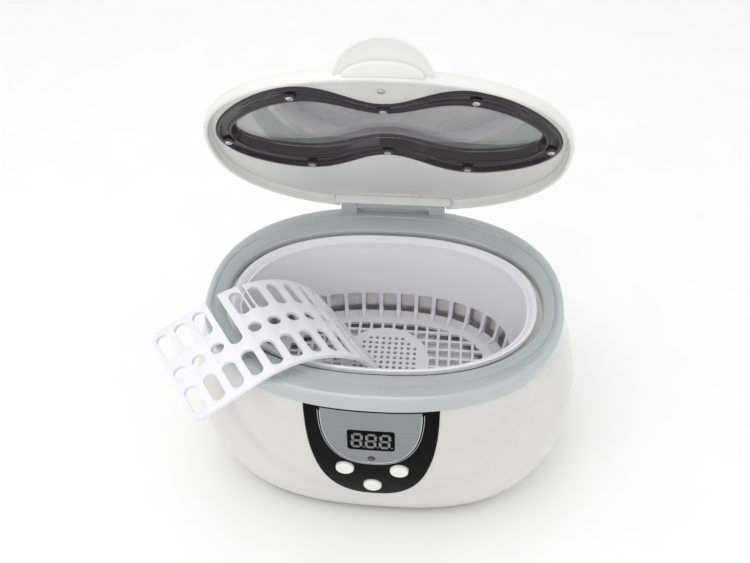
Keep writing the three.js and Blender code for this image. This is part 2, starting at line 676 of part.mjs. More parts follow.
const linerZ = LID_SEAT + LINER_UP;
const flangeTop = linerZ + FLANGE_T;
const domeOuter = domeSolid(0, LID_SEAT);
const domeInner = domeSolid(LID_WALL, LID_SEAT - 2);
const paneHole = eyeglass(PANE_A + FIT, PANE_B + FIT, PANE_WAIST);
const wellWall = cut(
  slab(eyeglass(PANE_A + 2.4, PANE_B + 2.4, PANE_WAIST), flangeTop + FIT, LID_SEAT + LID_RISE),
  slab(paneHole, flangeTop, LID_SEAT + LID_RISE + 1),
);
let shell = fuse(cut(domeOuter, domeInner), wellWall.intersect(domeOuter));
shell = cut(shell, slab(paneHole, LID_SEAT + LID_SKIRT, LID_SEAT + LID_RISE + 2));

// the places of the eight window screws, counted from the right end, front first
const windowScrews = [8, -59, -90, -121, 172, 120, 90, 60].map((degrees) => {
  const t = THREE.MathUtils.degToRad(degrees);
  const x = (WINDOW_A - 3.8) * Math.cos(t);
  const b = degrees > 0 ? WINDOW_B - 5 : (WINDOW_B + PANE_B) / 2;
  const pinch = 1 - ((WINDOW_WAIST + PANE_WAIST) / 2) * Math.exp(-((x / WAIST_SPREAD) ** 2));
  return [x, windowMiddle(x) + b * Math.sin(t) * pinch];
});
const lidBoss = (x, y, z) => post(3, 30, x, y, z, 10).intersect(domeOuter);
for (const [x, y] of windowScrews) shell = fuse(shell, lidBoss(x, y, flangeTop + FIT));
const FRONT_SCREW_Y = -54.5;
shell = fuse(shell, lidBoss(0, FRONT_SCREW_Y, linerZ + LINER_T + FIT));

const tabDisc = post(TAB_R, TAB_T, 0, 0, -TAB_T / 2, 32);
const tab = tabDisc.rotate([-TAB_TILT, 0, 0]).translate([0, -LID_B + 4.5, LID_SEAT + TAB_UP]);
const tabRoom = slab(oval(LID_A - LID_WALL, LID_B - LID_WALL, TOP_N), LID_SEAT - 20, LID_SEAT + 1);
shell = fuse(shell, cut(tab, domeInner, tabRoom));
const lipH = LINER_UP + LINER_T;
const lipZ = LID_SEAT + lipH / 2;
const rearLip = cut(
  box(HINGE_W + 4, 9, lipH, 0, REAR_LIP_Y + 4.5, lipZ),
  box(HINGE_W + 1, 9, lipH + 2, 0, REAR_LIP_Y + 1.6 + 4.5, lipZ),
);
shell = fuse(shell, rearLip.intersect(domeOuter));
shell = fuse(shell, rodX(KNUCKLE_R, knuckleL, 0, HINGE_Y, HINGE_Z));
const cheekNotch = (sx) =>
  box(CHEEK_W + 4 * FIT, 30, 60, sx * cheekX, HINGE_Y - CHEEK_R - 2 * FIT + 15, LID_SEAT + 10);
const pinHole = rodX(PIN_R + FIT, HINGE_W + 2, 0, HINGE_Y, HINGE_Z);
shell = cut(shell, cheekNotch(-1), cheekNotch(1), pinHole);
const screwDepth = LID_SCREW_L + FIT;
for (const [x, y] of windowScrews) {
  shell = cut(shell, post(LID_SCREW_R + FIT, screwDepth, x, y, linerZ, 8));
}
shell = cut(shell, post(LID_SCREW_R + FIT, screwDepth, 0, FRONT_SCREW_Y, linerZ, 12));
lidPiece('lid_shell', shell, WHITE);

let liner = slab(oval(LID_A, LID_B, TOP_N), linerZ, linerZ + LINER_T);
liner = liner.intersect(domeSolid(LID_WALL + FIT, LID_SEAT));
liner = cut(
  liner,
  slab(eyeglass(WINDOW_A + FIT, WINDOW_B + FIT, WINDOW_WAIST), linerZ - 1, linerZ + LINER_T + 1),
  box(HINGE_W + 4 + 2 * FIT, 30, 20, 0, REAR_LIP_Y - FIT + 15, linerZ),
  post(LID_SCREW_R + FIT, 8, 0, FRONT_SCREW_Y, linerZ - 2, 12),
);
lidPiece('lid_liner', liner, [0xd9dbdb, 0.4, 0]);

const pane = eyeglass(PANE_A, PANE_B, PANE_WAIST);
const paneInside = eyeglass(PANE_A - PANE_T, PANE_B - PANE_T, PANE_WAIST);
let lidWindow = fuse(
  slab(eyeglass(WINDOW_A, WINDOW_B, WINDOW_WAIST), linerZ, flangeTop),
  slab(pane, linerZ, flangeTop + PANE_UP),
);
lidWindow = cut(lidWindow, slab(paneInside, linerZ - 1, flangeTop + PANE_UP - PANE_T));
for (const [x, y] of windowScrews) {
  lidWindow = cut(lidWindow, post(LID_SCREW_R + FIT, 10, x, y, linerZ - 2, 8));
}
lidPiece('lid_window', lidWindow, SMOKE);

/** A lid screw with its head under height z. */
function lidScrew(x, y, z) {
  const head = post(LID_SCREW_HEAD_R, LID_SCREW_HEAD_H, x, y, z - FIT - LID_SCREW_HEAD_H, 10);
  return fuse(head, post(LID_SCREW_R, LID_SCREW_L + FIT, x, y, z - 2 * FIT, 8));
}
windowScrews.forEach(([x, y], i) => lidPiece(`window_screw_${i + 1}`, lidScrew(x, y, linerZ), STEEL));
lidPiece('liner_screw', lidScrew(0, FRONT_SCREW_Y, linerZ), STEEL);

lid.position.set(0, HINGE_Y, HINGE_Z);
lid.rotation.x = -THREE.MathUtils.degToRad(LID_OPEN);
parts.add(lid);

// ---------------------------------------------------------------- sieve insert

const COLUMNS = 13; // columns of holes across the insert
const NOTCH_COLUMN = 3; // the notch from the rear edge takes this column's middle and rear holes
const SLIT_AFTER = 5; // the narrow slit runs in after this many columns
const INSERT_L = INSERT_LEFT + INSERT_RIGHT;

/** A point of the insert's side line, at length s from its middle and height h over it. */
function bent(s, h) {
  const half = THREE.MathUtils.degToRad(INSERT_BEND / 2);
  const arc = INSERT_R * half;
  const turn = THREE.MathUtils.clamp(s / INSERT_R, -half, half);
  const past = Math.sign(s) * Math.max(Math.abs(s) - arc, 0);
  const r = INSERT_R + h;
  const x = r * Math.sin(turn) + past * Math.cos(turn);
  const z = r * Math.cos(turn) - INSERT_R - Math.abs(past) * Math.sin(Math.abs(turn));
  return [x, z, turn];
}

const side = [];
for (let i = 0; i <= 12; i++) side.push([(i / 12) * INSERT_L - INSERT_LEFT, 0]);
for (let i = 12; i >= 0; i--) side.push([(i / 12) * INSERT_L - INSERT_LEFT, -INSERT_T]);
const sideShape = new THREE.Shape(side.map(([s, h]) => new THREE.Vector2(...bent(s, h).slice(0, 2))));
const strip = new THREE.ExtrudeGeometry(sideShape, { depth: INSERT_W, bevelEnabled: false, steps: 1 });
let insert = solid(strip.rotateX(Math.PI / 2).translate(0, INSERT_W / 2, 0));

/** A cutter through the insert, at length s and width y, as long as w and l. */
function insertHole(s, y, l, w, round) {
  const [x, z, turn] = bent(s, 0);
  const g = round ? new THREE.CylinderGeometry(w / 2, w / 2, 10, 12).rotateX(Math.PI / 2) : new THREE.BoxGeometry(l, w, 10);
  return solid(g.rotateY(turn).translate(x, y, z));
}
const pitch = INSERT_L / COLUMNS;
const slotWide = 6.8;
const slotLong = INSERT_W * 0.28;
const rowY = INSERT_W * 0.31;
for (let i = 0; i < COLUMNS; i++) {
  const s = (i + 0.5) * pitch - INSERT_LEFT;
  insert = cut(insert, insertHole(s, -rowY, slotWide, slotLong));
  if (i === NOTCH_COLUMN) insert = cut(insert, insertHole(s, rowY, slotWide, INSERT_W * 0.75));
  else insert = cut(insert, insertHole(s, 0, 0, slotWide, true), insertHole(s, rowY, slotWide, slotLong));
}
insert = cut(insert, insertHole(SLIT_AFTER * pitch - INSERT_LEFT, INSERT_W * 0.46, 2.6, INSERT_W * 0.54));
const loose = new THREE.Group();
piece('sieve_insert', insert, WHITE, loose);
loose.position.set(-41.3, -23.3, 109.3);
loose.rotation.set(0, THREE.MathUtils.degToRad(24.1), THREE.MathUtils.degToRad(35.5), 'ZYX');
parts.add(loose);

export default parts;
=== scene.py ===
# %% [markdown]
# # A benchtop ultrasonic cleaner
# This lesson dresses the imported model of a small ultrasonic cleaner: a glossy white bowl with a
# sage rim ring, a steel tank with a white lift-out basket, an open lid with a smoked window, and
# a loose white sieve plate that leans over the rim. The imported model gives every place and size,
# so each new piece is built where its plain stand-in already is.

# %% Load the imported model
import math

import bmesh
import bpy
from mathutils import Matrix, Vector


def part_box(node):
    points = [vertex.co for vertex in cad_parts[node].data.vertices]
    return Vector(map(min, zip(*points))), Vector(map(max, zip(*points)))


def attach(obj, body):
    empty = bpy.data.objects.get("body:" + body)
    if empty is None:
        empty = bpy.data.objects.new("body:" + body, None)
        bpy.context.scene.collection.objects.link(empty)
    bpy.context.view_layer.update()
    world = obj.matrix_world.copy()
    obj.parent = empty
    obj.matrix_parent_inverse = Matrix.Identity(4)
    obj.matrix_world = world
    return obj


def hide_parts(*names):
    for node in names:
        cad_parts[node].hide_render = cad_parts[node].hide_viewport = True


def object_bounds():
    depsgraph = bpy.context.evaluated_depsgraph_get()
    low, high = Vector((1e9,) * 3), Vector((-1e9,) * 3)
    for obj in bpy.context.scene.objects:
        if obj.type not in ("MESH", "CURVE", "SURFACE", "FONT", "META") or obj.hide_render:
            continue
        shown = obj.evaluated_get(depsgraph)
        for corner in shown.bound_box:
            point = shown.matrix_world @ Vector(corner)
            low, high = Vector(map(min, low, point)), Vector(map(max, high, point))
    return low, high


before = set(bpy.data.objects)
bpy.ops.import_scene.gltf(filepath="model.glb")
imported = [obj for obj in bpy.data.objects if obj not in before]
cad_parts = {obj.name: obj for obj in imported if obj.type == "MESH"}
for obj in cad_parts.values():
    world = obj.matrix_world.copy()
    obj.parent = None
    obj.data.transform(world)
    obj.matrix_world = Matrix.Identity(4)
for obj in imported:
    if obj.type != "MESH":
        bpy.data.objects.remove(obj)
cad_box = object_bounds()
scene = bpy.context.scene
MM = 0.001
print("nodes", len(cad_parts), "size", [round(x / MM, 1) for x in cad_box[1] - cad_box[0]])

# %% [markdown]
# ## The camera first
# A small product is seen from a little more than half a metre away, slightly from its right and
# from about forty degrees up. It is tipped by two degrees, as when it is held by hand.

# %% Camera
azimuth, elevation, tip = math.radians(7.48), math.radians(42.98), math.radians(-2.41)
aim = Vector((-9.4, 0, 115.6)) * MM
back = Vector((
    math.sin(azimuth) * math.cos(elevation),
    -math.cos(azimuth) * math.cos(elevation),
    math.sin(elevation),
))
level_right = Vector((math.cos(azimuth), math.sin(azimuth), 0))
level_up = back.cross(level_right)
right = level_right * math.cos(tip) + level_up * math.sin(tip)
up = level_up * math.cos(tip) - level_right * math.sin(tip)

lens_data = bpy.data.cameras.new("camera")
lens_data.sensor_width = 36
lens_data.lens = 40.8
lens_data.shift_x = 0.0137
lens_data.shift_y = -0.0045
lens_data.clip_start = 0.01
lens_data.clip_end = 20
camera = bpy.data.objects.new("camera", lens_data)
scene.collection.objects.link(camera)
turned = Matrix((right, up, back)).transposed()
camera.matrix_world = Matrix.Translation(aim + back * 441.34 * MM) @ turned.to_4x4()
scene.camera = camera
print("camera at", [round(x, 3) for x in camera.location])

# %% [markdown]
# ## Working by hand, in code
# An operator acts on whatever is selected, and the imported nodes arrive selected. So every piece
# starts by letting go of everything. These few helpers open a piece for editing, pick faces by
# a rule, apply a modifier, cut one piece with another, and hand the piece to its body.


# %% Hands
def let_go():
    """Leaves edit mode and selects nothing."""
    if bpy.context.object and bpy.context.object.mode != "OBJECT":
        bpy.ops.object.mode_set(mode="OBJECT")
    bpy.ops.object.select_all(action="DESELECT")


def take(piece):
    """Makes one piece the only one selected and active."""
    let_go()
    piece.select_set(True)
    bpy.context.view_layer.objects.active = piece


def fresh(name):
    """Names the primitive that was just added and puts its place in its mesh."""
    piece = bpy.context.object
    piece.name = name
    bpy.ops.object.transform_apply(location=True, rotation=True, scale=True)
    return piece


def pick_faces(piece, rule):
    """Opens the piece for editing with only the faces that keep the rule selected."""
    take(piece)
    for part in (piece.data.vertices, piece.data.edges, piece.data.polygons):
        part.foreach_set("select", [False] * len(part))
    for face in piece.data.polygons:
        face.select = rule(face.center, face.normal)
    bpy.ops.object.mode_set(mode="EDIT")
    bpy.ops.mesh.select_mode(type="FACE")


def outward(piece):
    """Turns every face of a closed piece outwards."""
    take(piece)
    bpy.ops.object.mode_set(mode="EDIT")
    bpy.ops.mesh.select_all(action="SELECT")
    bpy.ops.mesh.remove_doubles(threshold=1e-6)
    bpy.ops.mesh.normals_make_consistent(inside=False)
    bpy.ops.object.mode_set(mode="OBJECT")


def modify(piece, kind, **settings):
    """Adds one modifier, sets it and applies it."""
    take(piece)
    modifier = piece.modifiers.new(kind.lower(), kind)
    for key, value in settings.items():
        setattr(modifier, key, value)
    bpy.ops.object.modifier_apply(modifier=modifier.name)


def carve(piece, cutter, how="DIFFERENCE"):
    """Cuts, joins or trims the piece with a cutter, which is then thrown away."""
    modify(piece, "BOOLEAN", object=cutter, operation=how, solver="EXACT")
    bpy.data.objects.remove(cutter)


def soften(piece, width, angle=40, segments=2):
    """Rounds the piece's sharp edges."""
    modify(
        piece, "BEVEL", width=width, segments=segments, limit_method="ANGLE",
        angle_limit=math.radians(angle), harden_normals=False,
    )


def joined(name, pieces):
    """Joins several pieces into one."""
    take(pieces[0])
    for piece in pieces:
        piece.select_set(True)
    bpy.ops.object.join()
    pieces[0].name = name
    return pieces[0]


def copy_of(piece, name, matrix):
    """A copy with a mesh of its own, moved by the matrix."""
    twin = bpy.data.objects.new(name, piece.data.copy())
    scene.collection.objects.link(twin)
    twin.data.transform(matrix)
    return twin


def moved(x, y, z):
    """The move to a place given in millimetres."""
    return Matrix.Translation(Vector((x, y, z)) * MM)


def settle(piece, body, slot, material, *nodes, angle=35):
    """Smooths the piece, gives it its finish, and hands it to its body."""
    take(piece)
    bpy.ops.object.shade_smooth_by_angle(angle=math.radians(angle))
    piece.data.materials.clear()
    piece.data.materials.append(material)
    for face in piece.data.polygons:
        face.material_index = 0
    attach(piece, body)
    if nodes:
        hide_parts(*nodes)
    let_go()
    print(piece.name, len(piece.data.polygons), "faces")
    return piece


# %% [markdown]
# ## Drawing a skin up from a circle
# Nearly every large piece here is a squared oval seen from above. A circle is added, its points
# are moved out onto the oval, and its loop is extruded and drawn out again and again, level by
# level. That keeps neat columns of faces, which take a soft highlight better than a carved block.


# %% Skins
def squared(c, n):
    return math.copysign(abs(c) ** (2 / n), c)


def oval(a, b, z, n=2.3):
    """A squared oval of half-axes a and b at height z, in millimetres."""
    return lambda t: (a * squared(math.cos(t), n), b * squared(math.sin(t), n), z)


def skin(name, loops, sides=160, closed=False, capped=False):
    """A skin drawn up through the loops; closed joins the last to the first, capped fills both."""
    let_go()
    bpy.ops.mesh.primitive_circle_add(vertices=sides, radius=1, fill_type="NOTHING")
    piece = fresh(name)
    bpy.ops.object.mode_set(mode="EDIT")
    bpy.ops.mesh.select_mode(type="VERT")
    bpy.ops.mesh.select_all(action="SELECT")
    mesh = bmesh.from_edit_mesh(piece.data)
    turn = mesh.verts.layers.float.new("turn")
    for vertex in mesh.verts:
        vertex[turn] = math.atan2(vertex.co.y, vertex.co.x)
    for number, loop in enumerate(loops + loops[:1] if closed else loops):
        if number:
            bpy.ops.mesh.extrude_region_move()
        mesh = bmesh.from_edit_mesh(piece.data)
        turn = mesh.verts.layers.float["turn"]
        for vertex in mesh.verts:
            if vertex.select:
                vertex.co = Vector(loop(vertex[turn])) * MM
        bmesh.update_edit_mesh(piece.data)
    mesh.verts.layers.float.remove(turn)
    bmesh.update_edit_mesh(piece.data)
    bpy.ops.mesh.select_all(action="SELECT")
    if capped:
        bpy.ops.mesh.fill_holes(sides=0)
        bpy.ops.mesh.select_all(action="SELECT")
    bpy.ops.mesh.remove_doubles(threshold=1e-6)
    bpy.ops.mesh.normals_make_consistent(inside=False)
    bpy.ops.object.mode_set(mode="OBJECT")
    return piece


def block(name, size, at, round_=0.0):
    """A block of a size at a place, in millimetres, with rounded edges."""
    let_go()
    bpy.ops.mesh.primitive_cube_add(size=1, location=Vector(at) * MM)
    bpy.context.object.scale = Vector(size) * MM
    piece = fresh(name)
    if round_:
        modify(piece, "BEVEL", width=round_ * MM, segments=3, limit_method="NONE")
    return piece


def peg(name, radius, length, at, axis="Z", sides=48, radius_2=None):
    """A round peg centred on a place, in millimetres."""
    let_go()
    turn = {"X": (0, math.pi / 2, 0), "Y": (math.pi / 2, 0, 0), "Z": (0, 0, 0)}[axis]
    bpy.ops.mesh.primitive_cylinder_add(
        vertices=sides, radius=radius * MM, depth=length * MM, location=Vector(at) * MM, rotation=turn
    )
    bpy.context.object.scale = (1, (radius_2 or radius) / radius, 1)
    return fresh(name)


# %% [markdown]
# ## Finishes
# Moulded plastic is never one flat colour: the tone drifts a little over a hand's width, the
# gloss changes where it has been wiped, and a fine texture breaks up the highlight. One recipe
# makes them all, with its own colour, gloss and grain for each finish. Values that are the same
# all over sit on the shader's own sockets.


# %% Plastic
def plastic(name, color, gloss, drift=0.04, grain=900, bump=0.03, coat=0.0, alpha=1.0,
            spread=0.08, shine=0.5, bend=1.5):
    """A moulded finish: color with a slow drift, roughness around gloss, and a fine grain."""
    material = bpy.data.materials.new(name)
    material.use_nodes = True
    nodes, links = material.node_tree.nodes, material.node_tree.links
    shader = nodes["Principled BSDF"]
    place = nodes.new("ShaderNodeTexCoord")
    slow = nodes.new("ShaderNodeTexNoise")
    slow.inputs["Scale"].default_value = 22
    slow.inputs["Detail"].default_value = 3
    links.new(place.outputs["Object"], slow.inputs["Vector"])
    tone = nodes.new("ShaderNodeValToRGB")
    tone.color_ramp.elements[0].position = 0.3
    tone.color_ramp.elements[1].position = 0.7
    tone.color_ramp.elements[0].color = (*[c * (1 - drift) for c in color], 1)
    tone.color_ramp.elements[1].color = (*[min(c * (1 + drift), 1) for c in color], 1)
    links.new(slow.outputs["Fac"], tone.inputs["Fac"])
    links.new(tone.outputs["Color"], shader.inputs["Base Color"])
    wiped = nodes.new("ShaderNodeTexNoise")
    wiped.inputs["Scale"].default_value = 60
    wiped.inputs["Detail"].default_value = 4
    links.new(place.outputs["Object"], wiped.inputs["Vector"])
    rough = nodes.new("ShaderNodeMapRange")
    rough.inputs["To Min"].default_value = max(gloss - spread / 2, 0.02)
    rough.inputs["To Max"].default_value = gloss + spread / 2
    links.new(wiped.outputs["Fac"], rough.inputs["Value"])
    links.new(rough.outputs["Result"], shader.inputs["Roughness"])
    fine = nodes.new("ShaderNodeTexNoise")
    fine.inputs["Scale"].default_value = grain
    fine.inputs["Detail"].default_value = 2
    links.new(place.outputs["Object"], fine.inputs["Vector"])
    relief = nodes.new("ShaderNodeBump")
    relief.inputs["Strength"].default_value = bump
    relief.inputs["Distance"].default_value = 0.0002
    links.new(fine.outputs["Fac"], relief.inputs["Height"])
    links.new(relief.outputs["Normal"], shader.inputs["Normal"])
    shader.inputs["Specular IOR Level"].default_value = shine
    shader.inputs["IOR"].default_value = bend
    shader.inputs["Coat Weight"].default_value = coat
    shader.inputs["Coat Roughness"].default_value = 0.06
    shader.inputs["Alpha"].default_value = alpha
    return material


# The housing is the same white plastic as the lid, made darker: painted shade standing in for the grey
# shading over the lower body.
white_shell = plastic("shade_dimmed_white_gloss", (0.65, 0.645, 0.63), 0.2, coat=0.35, grain=500, bump=0.02)
white_lid = plastic("white_lid_gloss", (0.80, 0.80, 0.79), 0.24, coat=0.3, grain=500, bump=0.02)
liner_satin = plastic("lid_liner_satin", (0.70, 0.70, 0.69), 0.36, coat=0.1, grain=700)
sage_ring = plastic("sage_ring_satin", (0.455, 0.502, 0.495), 0.16, drift=0.05, coat=0.8, grain=700)
basket_white = plastic("basket_white_satin", (0.84, 0.835, 0.87), 0.34, drift=0.03, coat=0.1)
sieve_white = plastic("sieve_white_satin", (0.83, 0.825, 0.86), 0.34, drift=0.03, coat=0.1)
panel_black = plastic("panel_black_gloss", (0.003, 0.003, 0.003), 0.2, drift=0.2, shine=0.05)
smoke_channel = plastic(
    "smoked_channel", (0.020, 0.015, 0.018), 0.1, drift=0.25, coat=0.2, spread=0.05, shine=0.35)
smoke_pane = plastic(
    "smoked_pane", (0.11, 0.105, 0.108), 0.05, drift=0.1, coat=1.0, alpha=0.6, spread=0.02,
    shine=1.0, bend=2.0)
button_white = plastic("button_white_gloss", (0.80, 0.80, 0.79), 0.2, coat=0.4)
display_dark = plastic("display_dark_glass", (0.004, 0.004, 0.0045), 0.12, drift=0.2, shine=0.02, spread=0.03)
digit_grey = plastic("digit_grey", (0.22, 0.22, 0.22), 0.4, drift=0.1, shine=0.2)
base_dark = plastic("base_dark_matte", (0.035, 0.037, 0.036), 0.6, drift=0.15, bump=0.12)
foot_rubber = plastic("foot_rubber", (0.02, 0.02, 0.02), 0.82, drift=0.25, grain=1400, bump=0.3)
component_black = plastic("component_black", (0.03, 0.03, 0.033), 0.55, drift=0.2, bump=0.1)
board_green = plastic("board_green", (0.02, 0.13, 0.05), 0.35, drift=0.25, coat=0.2)
led_clear = plastic("status_led_red", (0.045, 0.012, 0.012), 0.15, drift=0.2, coat=0.5)
led_block = plastic("display_block_grey", (0.10, 0.10, 0.10), 0.5, drift=0.1)
ceramic_tan = plastic("ceramic_tan", (0.55, 0.50, 0.40), 0.6, drift=0.08, grain=1600, bump=0.2)
print("plastics made")


# %% [markdown]
# ## Metal
# The tank is drawn stainless steel with a fine upright brush, the screws are bright and smooth,
# and the winding is enamelled copper wire. A noise that is squeezed along one direction makes the
# brush marks, and it drives both the roughness and a slight relief.


# %% Metals
def metal(name, color, gloss, squeeze=(1, 1, 1), grain=400, bump=0.05, spread=0.14):
    """A metal finish with marks drawn out along the directions that squeeze makes small."""
    material = bpy.data.materials.new(name)
    material.use_nodes = True
    nodes, links = material.node_tree.nodes, material.node_tree.links
    shader = nodes["Principled BSDF"]
    shader.inputs["Metallic"].default_value = 1
    place = nodes.new("ShaderNodeTexCoord")
    drawn = nodes.new("ShaderNodeMapping")
    drawn.inputs["Scale"].default_value = squeeze
    links.new(place.outputs["Object"], drawn.inputs["Vector"])
    marks = nodes.new("ShaderNodeTexNoise")
    marks.inputs["Scale"].default_value = grain
    marks.inputs["Detail"].default_value = 4
    links.new(drawn.outputs["Vector"], marks.inputs["Vector"])
    tone = nodes.new("ShaderNodeValToRGB")
    tone.color_ramp.elements[0].color = (*[c * 0.86 for c in color], 1)
    tone.color_ramp.elements[1].color = (*[min(c * 1.08, 1) for c in color], 1)
    links.new(marks.outputs["Fac"], tone.inputs["Fac"])
    links.new(tone.outputs["Color"], shader.inputs["Base Color"])
    rough = nodes.new("ShaderNodeMapRange")
    rough.inputs["To Min"].default_value = gloss - spread / 2
    rough.inputs["To Max"].default_value = gloss + spread / 2
    links.new(marks.outputs["Fac"], rough.inputs["Value"])
    links.new(rough.outputs["Result"], shader.inputs["Roughness"])
    relief = nodes.new("ShaderNodeBump")
    relief.inputs["Strength"].default_value = bump
    relief.inputs["Distance"].default_value = 0.0002
    links.new(marks.outputs["Fac"], relief.inputs["Height"])
    links.new(relief.outputs["Normal"], shader.inputs["Normal"])
    return material


tank_steel = metal("tank_drawn_steel", (0.82, 0.81, 0.78), 0.32, squeeze=(1, 1, 0.08))
screw_bright = metal("screw_bright", (0.72, 0.72, 0.71), 0.2, grain=1500)
inlay_metal = metal("inlay_brushed_grey", (0.30, 0.305, 0.31), 0.36, squeeze=(0.1, 1, 1), grain=900)
trim_silver = metal("trim_silver", (0.62, 0.63, 0.64), 0.22, grain=1200)
copper_wire = metal("copper_winding", (0.55, 0.26, 0.10), 0.35, squeeze=(0.1, 1, 1), grain=700, bump=0.5)
sink_aluminium = metal("sink_aluminium", (0.66, 0.66, 0.67), 0.35, squeeze=(1, 0.1, 1), grain=600)
print("metals made")

# %% [markdown]
# ## The bowl-shaped housing
# The body is one white moulding: an oval foot, a belly that is widest at half height, and a neck
# that draws in under the ring. A soft crease sweeps over its front in a wide U, as if a spoon had
# been pressed in. The skin is drawn up level by level, and the crease is pressed into its points
# before it gets its wall, because a thin wall follows its skin.

# %% Housing
BULGE_Z, NECK_Z, FOOT_Z = 51, 97.5, 1


def lerp(a, b, k):
    return a + (b - a) * k


def ramp(x, low, high):
    """A smooth rise from 0 at low to 1 at high."""
    k = min(max((x - low) / (high - low), 0), 1)
    return k * k * (3 - 2 * k)


def bowl(z, grow=0):
    """The housing's outline at a height, in millimetres."""
    n = lerp(2.7, 2.3, z / NECK_Z)
    if z <= BULGE_Z:
        full = (1 - (1 - z / BULGE_Z) ** 1.7) ** (1 / 1.7)
        return oval(lerp(82, 104.4, full) + grow, lerp(60, 74.5, full) + grow, z, n)
    fall = math.cos((z - BULGE_Z) / (NECK_Z - BULGE_Z) * math.pi / 2)
    return oval(lerp(93.4, 104.4, fall) + grow, lerp(72.1, 74.5, fall) + grow, z, n)


def front_of(x, z, grow=0):
    """How far forward the bowl stands at a place on its front."""
    outline = bowl(z, grow)
    low, high = -math.pi / 2, 0 if x >= 0 else -math.pi
    for _ in range(30):
        middle = (low + high) / 2
        if abs(outline(middle)[0]) < abs(x):
            low = middle
        else:
            high = middle
    return outline(low)[1]


def press_crease(piece):
    """Presses the wide U into the front of the skin."""
    for vertex in piece.data.vertices:
        x, y, z = vertex.co / MM
        if y > 0:
            continue
        crease = 28.5 + 50 * (abs(x) / 80) ** 3.2
        slope = 2 * abs(x) / 80 * (abs(x) / 80) ** 1.2
        inside = (z - crease) / math.hypot(1, slope)
        press = ramp(inside, -0.8, 2.6) * (1 - ramp(inside, 4, 34)) * (1 - ramp(z, 72, 92))
        press *= 0.3 + 0.7 * ramp(abs(x), 12, 38)
        inward = Vector((-x / 104, -y / 74, 0)).normalized()
        vertex.co += inward * press * 2.6 * MM


heights = [FOOT_Z + (BULGE_Z - FOOT_Z) * (k / 34) ** 1.35 for k in range(35)]
heights += [lerp(BULGE_Z, NECK_Z, k / 30) for k in range(1, 31)]
housing = skin("housing_bowl", [bowl(z) for z in heights], sides=288)
press_crease(housing)
modify(housing, "SOLIDIFY", thickness=2.2 * MM, offset=-1)
print("housing skin", len(housing.data.vertices))


# %% [markdown]
# The control panel fills a U-shaped opening under the ring. A U outline is a circle's lower half
# with straight arms, pushed back through the wall as a cutter. The same outline, a little
# smaller, later trims the panel itself, so the two always match.


# %% U-shaped cutters
def u_cutter(name, width, bottom, level, grow=0.0, more=0.0, depth=(-90, -40)):
    """A solid with a U outline in the front view, its arms going on up past the level."""
    let_go()
    bpy.ops.mesh.primitive_circle_add(vertices=128, radius=1, fill_type="NGON")
    piece = fresh(name)
    for vertex in piece.data.vertices:
        c, s = vertex.co.x, vertex.co.y
        x = (width / 2 + grow) * squared(c, 2.5)
        z = level + (level - bottom + grow) * squared(s, 2.5) if s <= 1e-6 else level + more
        vertex.co = Vector((x, depth[0], z)) * MM
    take(piece)
    bpy.ops.object.mode_set(mode="EDIT")
    bpy.ops.mesh.select_mode(type="VERT")
    bpy.ops.mesh.select_all(action="SELECT")
    bpy.ops.mesh.remove_doubles(threshold=1e-5)
    bpy.ops.mesh.delete(type="ONLY_FACE")
    bpy.ops.mesh.select_all(action="SELECT")
    bpy.ops.mesh.edge_face_add()
    reach = (0, (depth[1] - depth[0]) * MM, 0)
    bpy.ops.mesh.extrude_region_move(TRANSFORM_OT_translate={"value": reach})
    bpy.ops.mesh.select_all(action="SELECT")
    bpy.ops.mesh.normals_make_consistent(inside=False)
    bpy.ops.object.mode_set(mode="OBJECT")
    return piece


carve(housing, u_cutter("panel_opening", 65, 30, NECK_Z, grow=0.3, more=3))
carve(housing, block("inlet_opening", (24.6, 30, 17.6), (0, 74, 32)))
settle(housing, "base", "white_shell", white_shell, "housing", angle=30)

# %% [markdown]
# ## The rim ring
# The ring is one moulding with a plain band outside, a rounded crest, a fine groove all round its
# top, and a face that slopes in to the opening. Its section is drawn as one closed loop of
# outlines, from the foot of the band over the crest and back underneath.

# %% Ring
CREST, RING_FOOT = 106.4, 97.8
section = [
    (93.2, 71.6, RING_FOOT), (94.0, 72.7, RING_FOOT + 0.3), (94.0, 72.7, RING_FOOT + 3.2),
    (93.9, 72.6, RING_FOOT + 5.4), (93.5, 72.25, CREST - 1.5), (92.9, 71.7, CREST - 0.7),
    (92.1, 70.9, CREST - 0.2), (91.2, 69.6, CREST), (90.3, 66.6, CREST - 0.25),
    (89.6, 63.6, CREST - 0.75), (89.35, 63.1, CREST - 1.35), (88.95, 62.6, CREST - 1.4),
    (88.7, 62.3, CREST - 0.95), (87.4, 60.0, CREST - 1.5), (85.6, 57.0, CREST - 2.4),
    (84.3, 55.0, CREST - 3.0), (83.7, 54.3, CREST - 3.5), (83.5, 54.0, CREST - 4.3),
    (83.5, 54.0, 99.5), (84.2, 54.8, 99.3), (89.0, 66.0, 99.3), (89.0, 66.0, RING_FOOT),
]
ring = skin("rim_ring_moulded", [oval(a, b, z) for a, b, z in section], sides=224, closed=True)
PIN_Y, PIN_Z = 70, 110.2


def cheek(side):
    """A hinge cheek: a round ear whose lower faces are drawn down into the ring."""
    ear = peg(f"cheek_{side}", 4, 9, (side * 25.5, PIN_Y, PIN_Z), axis="X", sides=40)
    pick_faces(ear, lambda c, n: n.z < -0.02 and c.z < PIN_Z * MM)
    bpy.ops.mesh.extrude_region_move(TRANSFORM_OT_translate={"value": (0, 0, -5.5 * MM)})
    bpy.ops.mesh.select_all(action="SELECT")
    bpy.ops.mesh.normals_make_consistent(inside=False)
    bpy.ops.object.mode_set(mode="OBJECT")
    soften(ear, 0.5 * MM)
    return ear


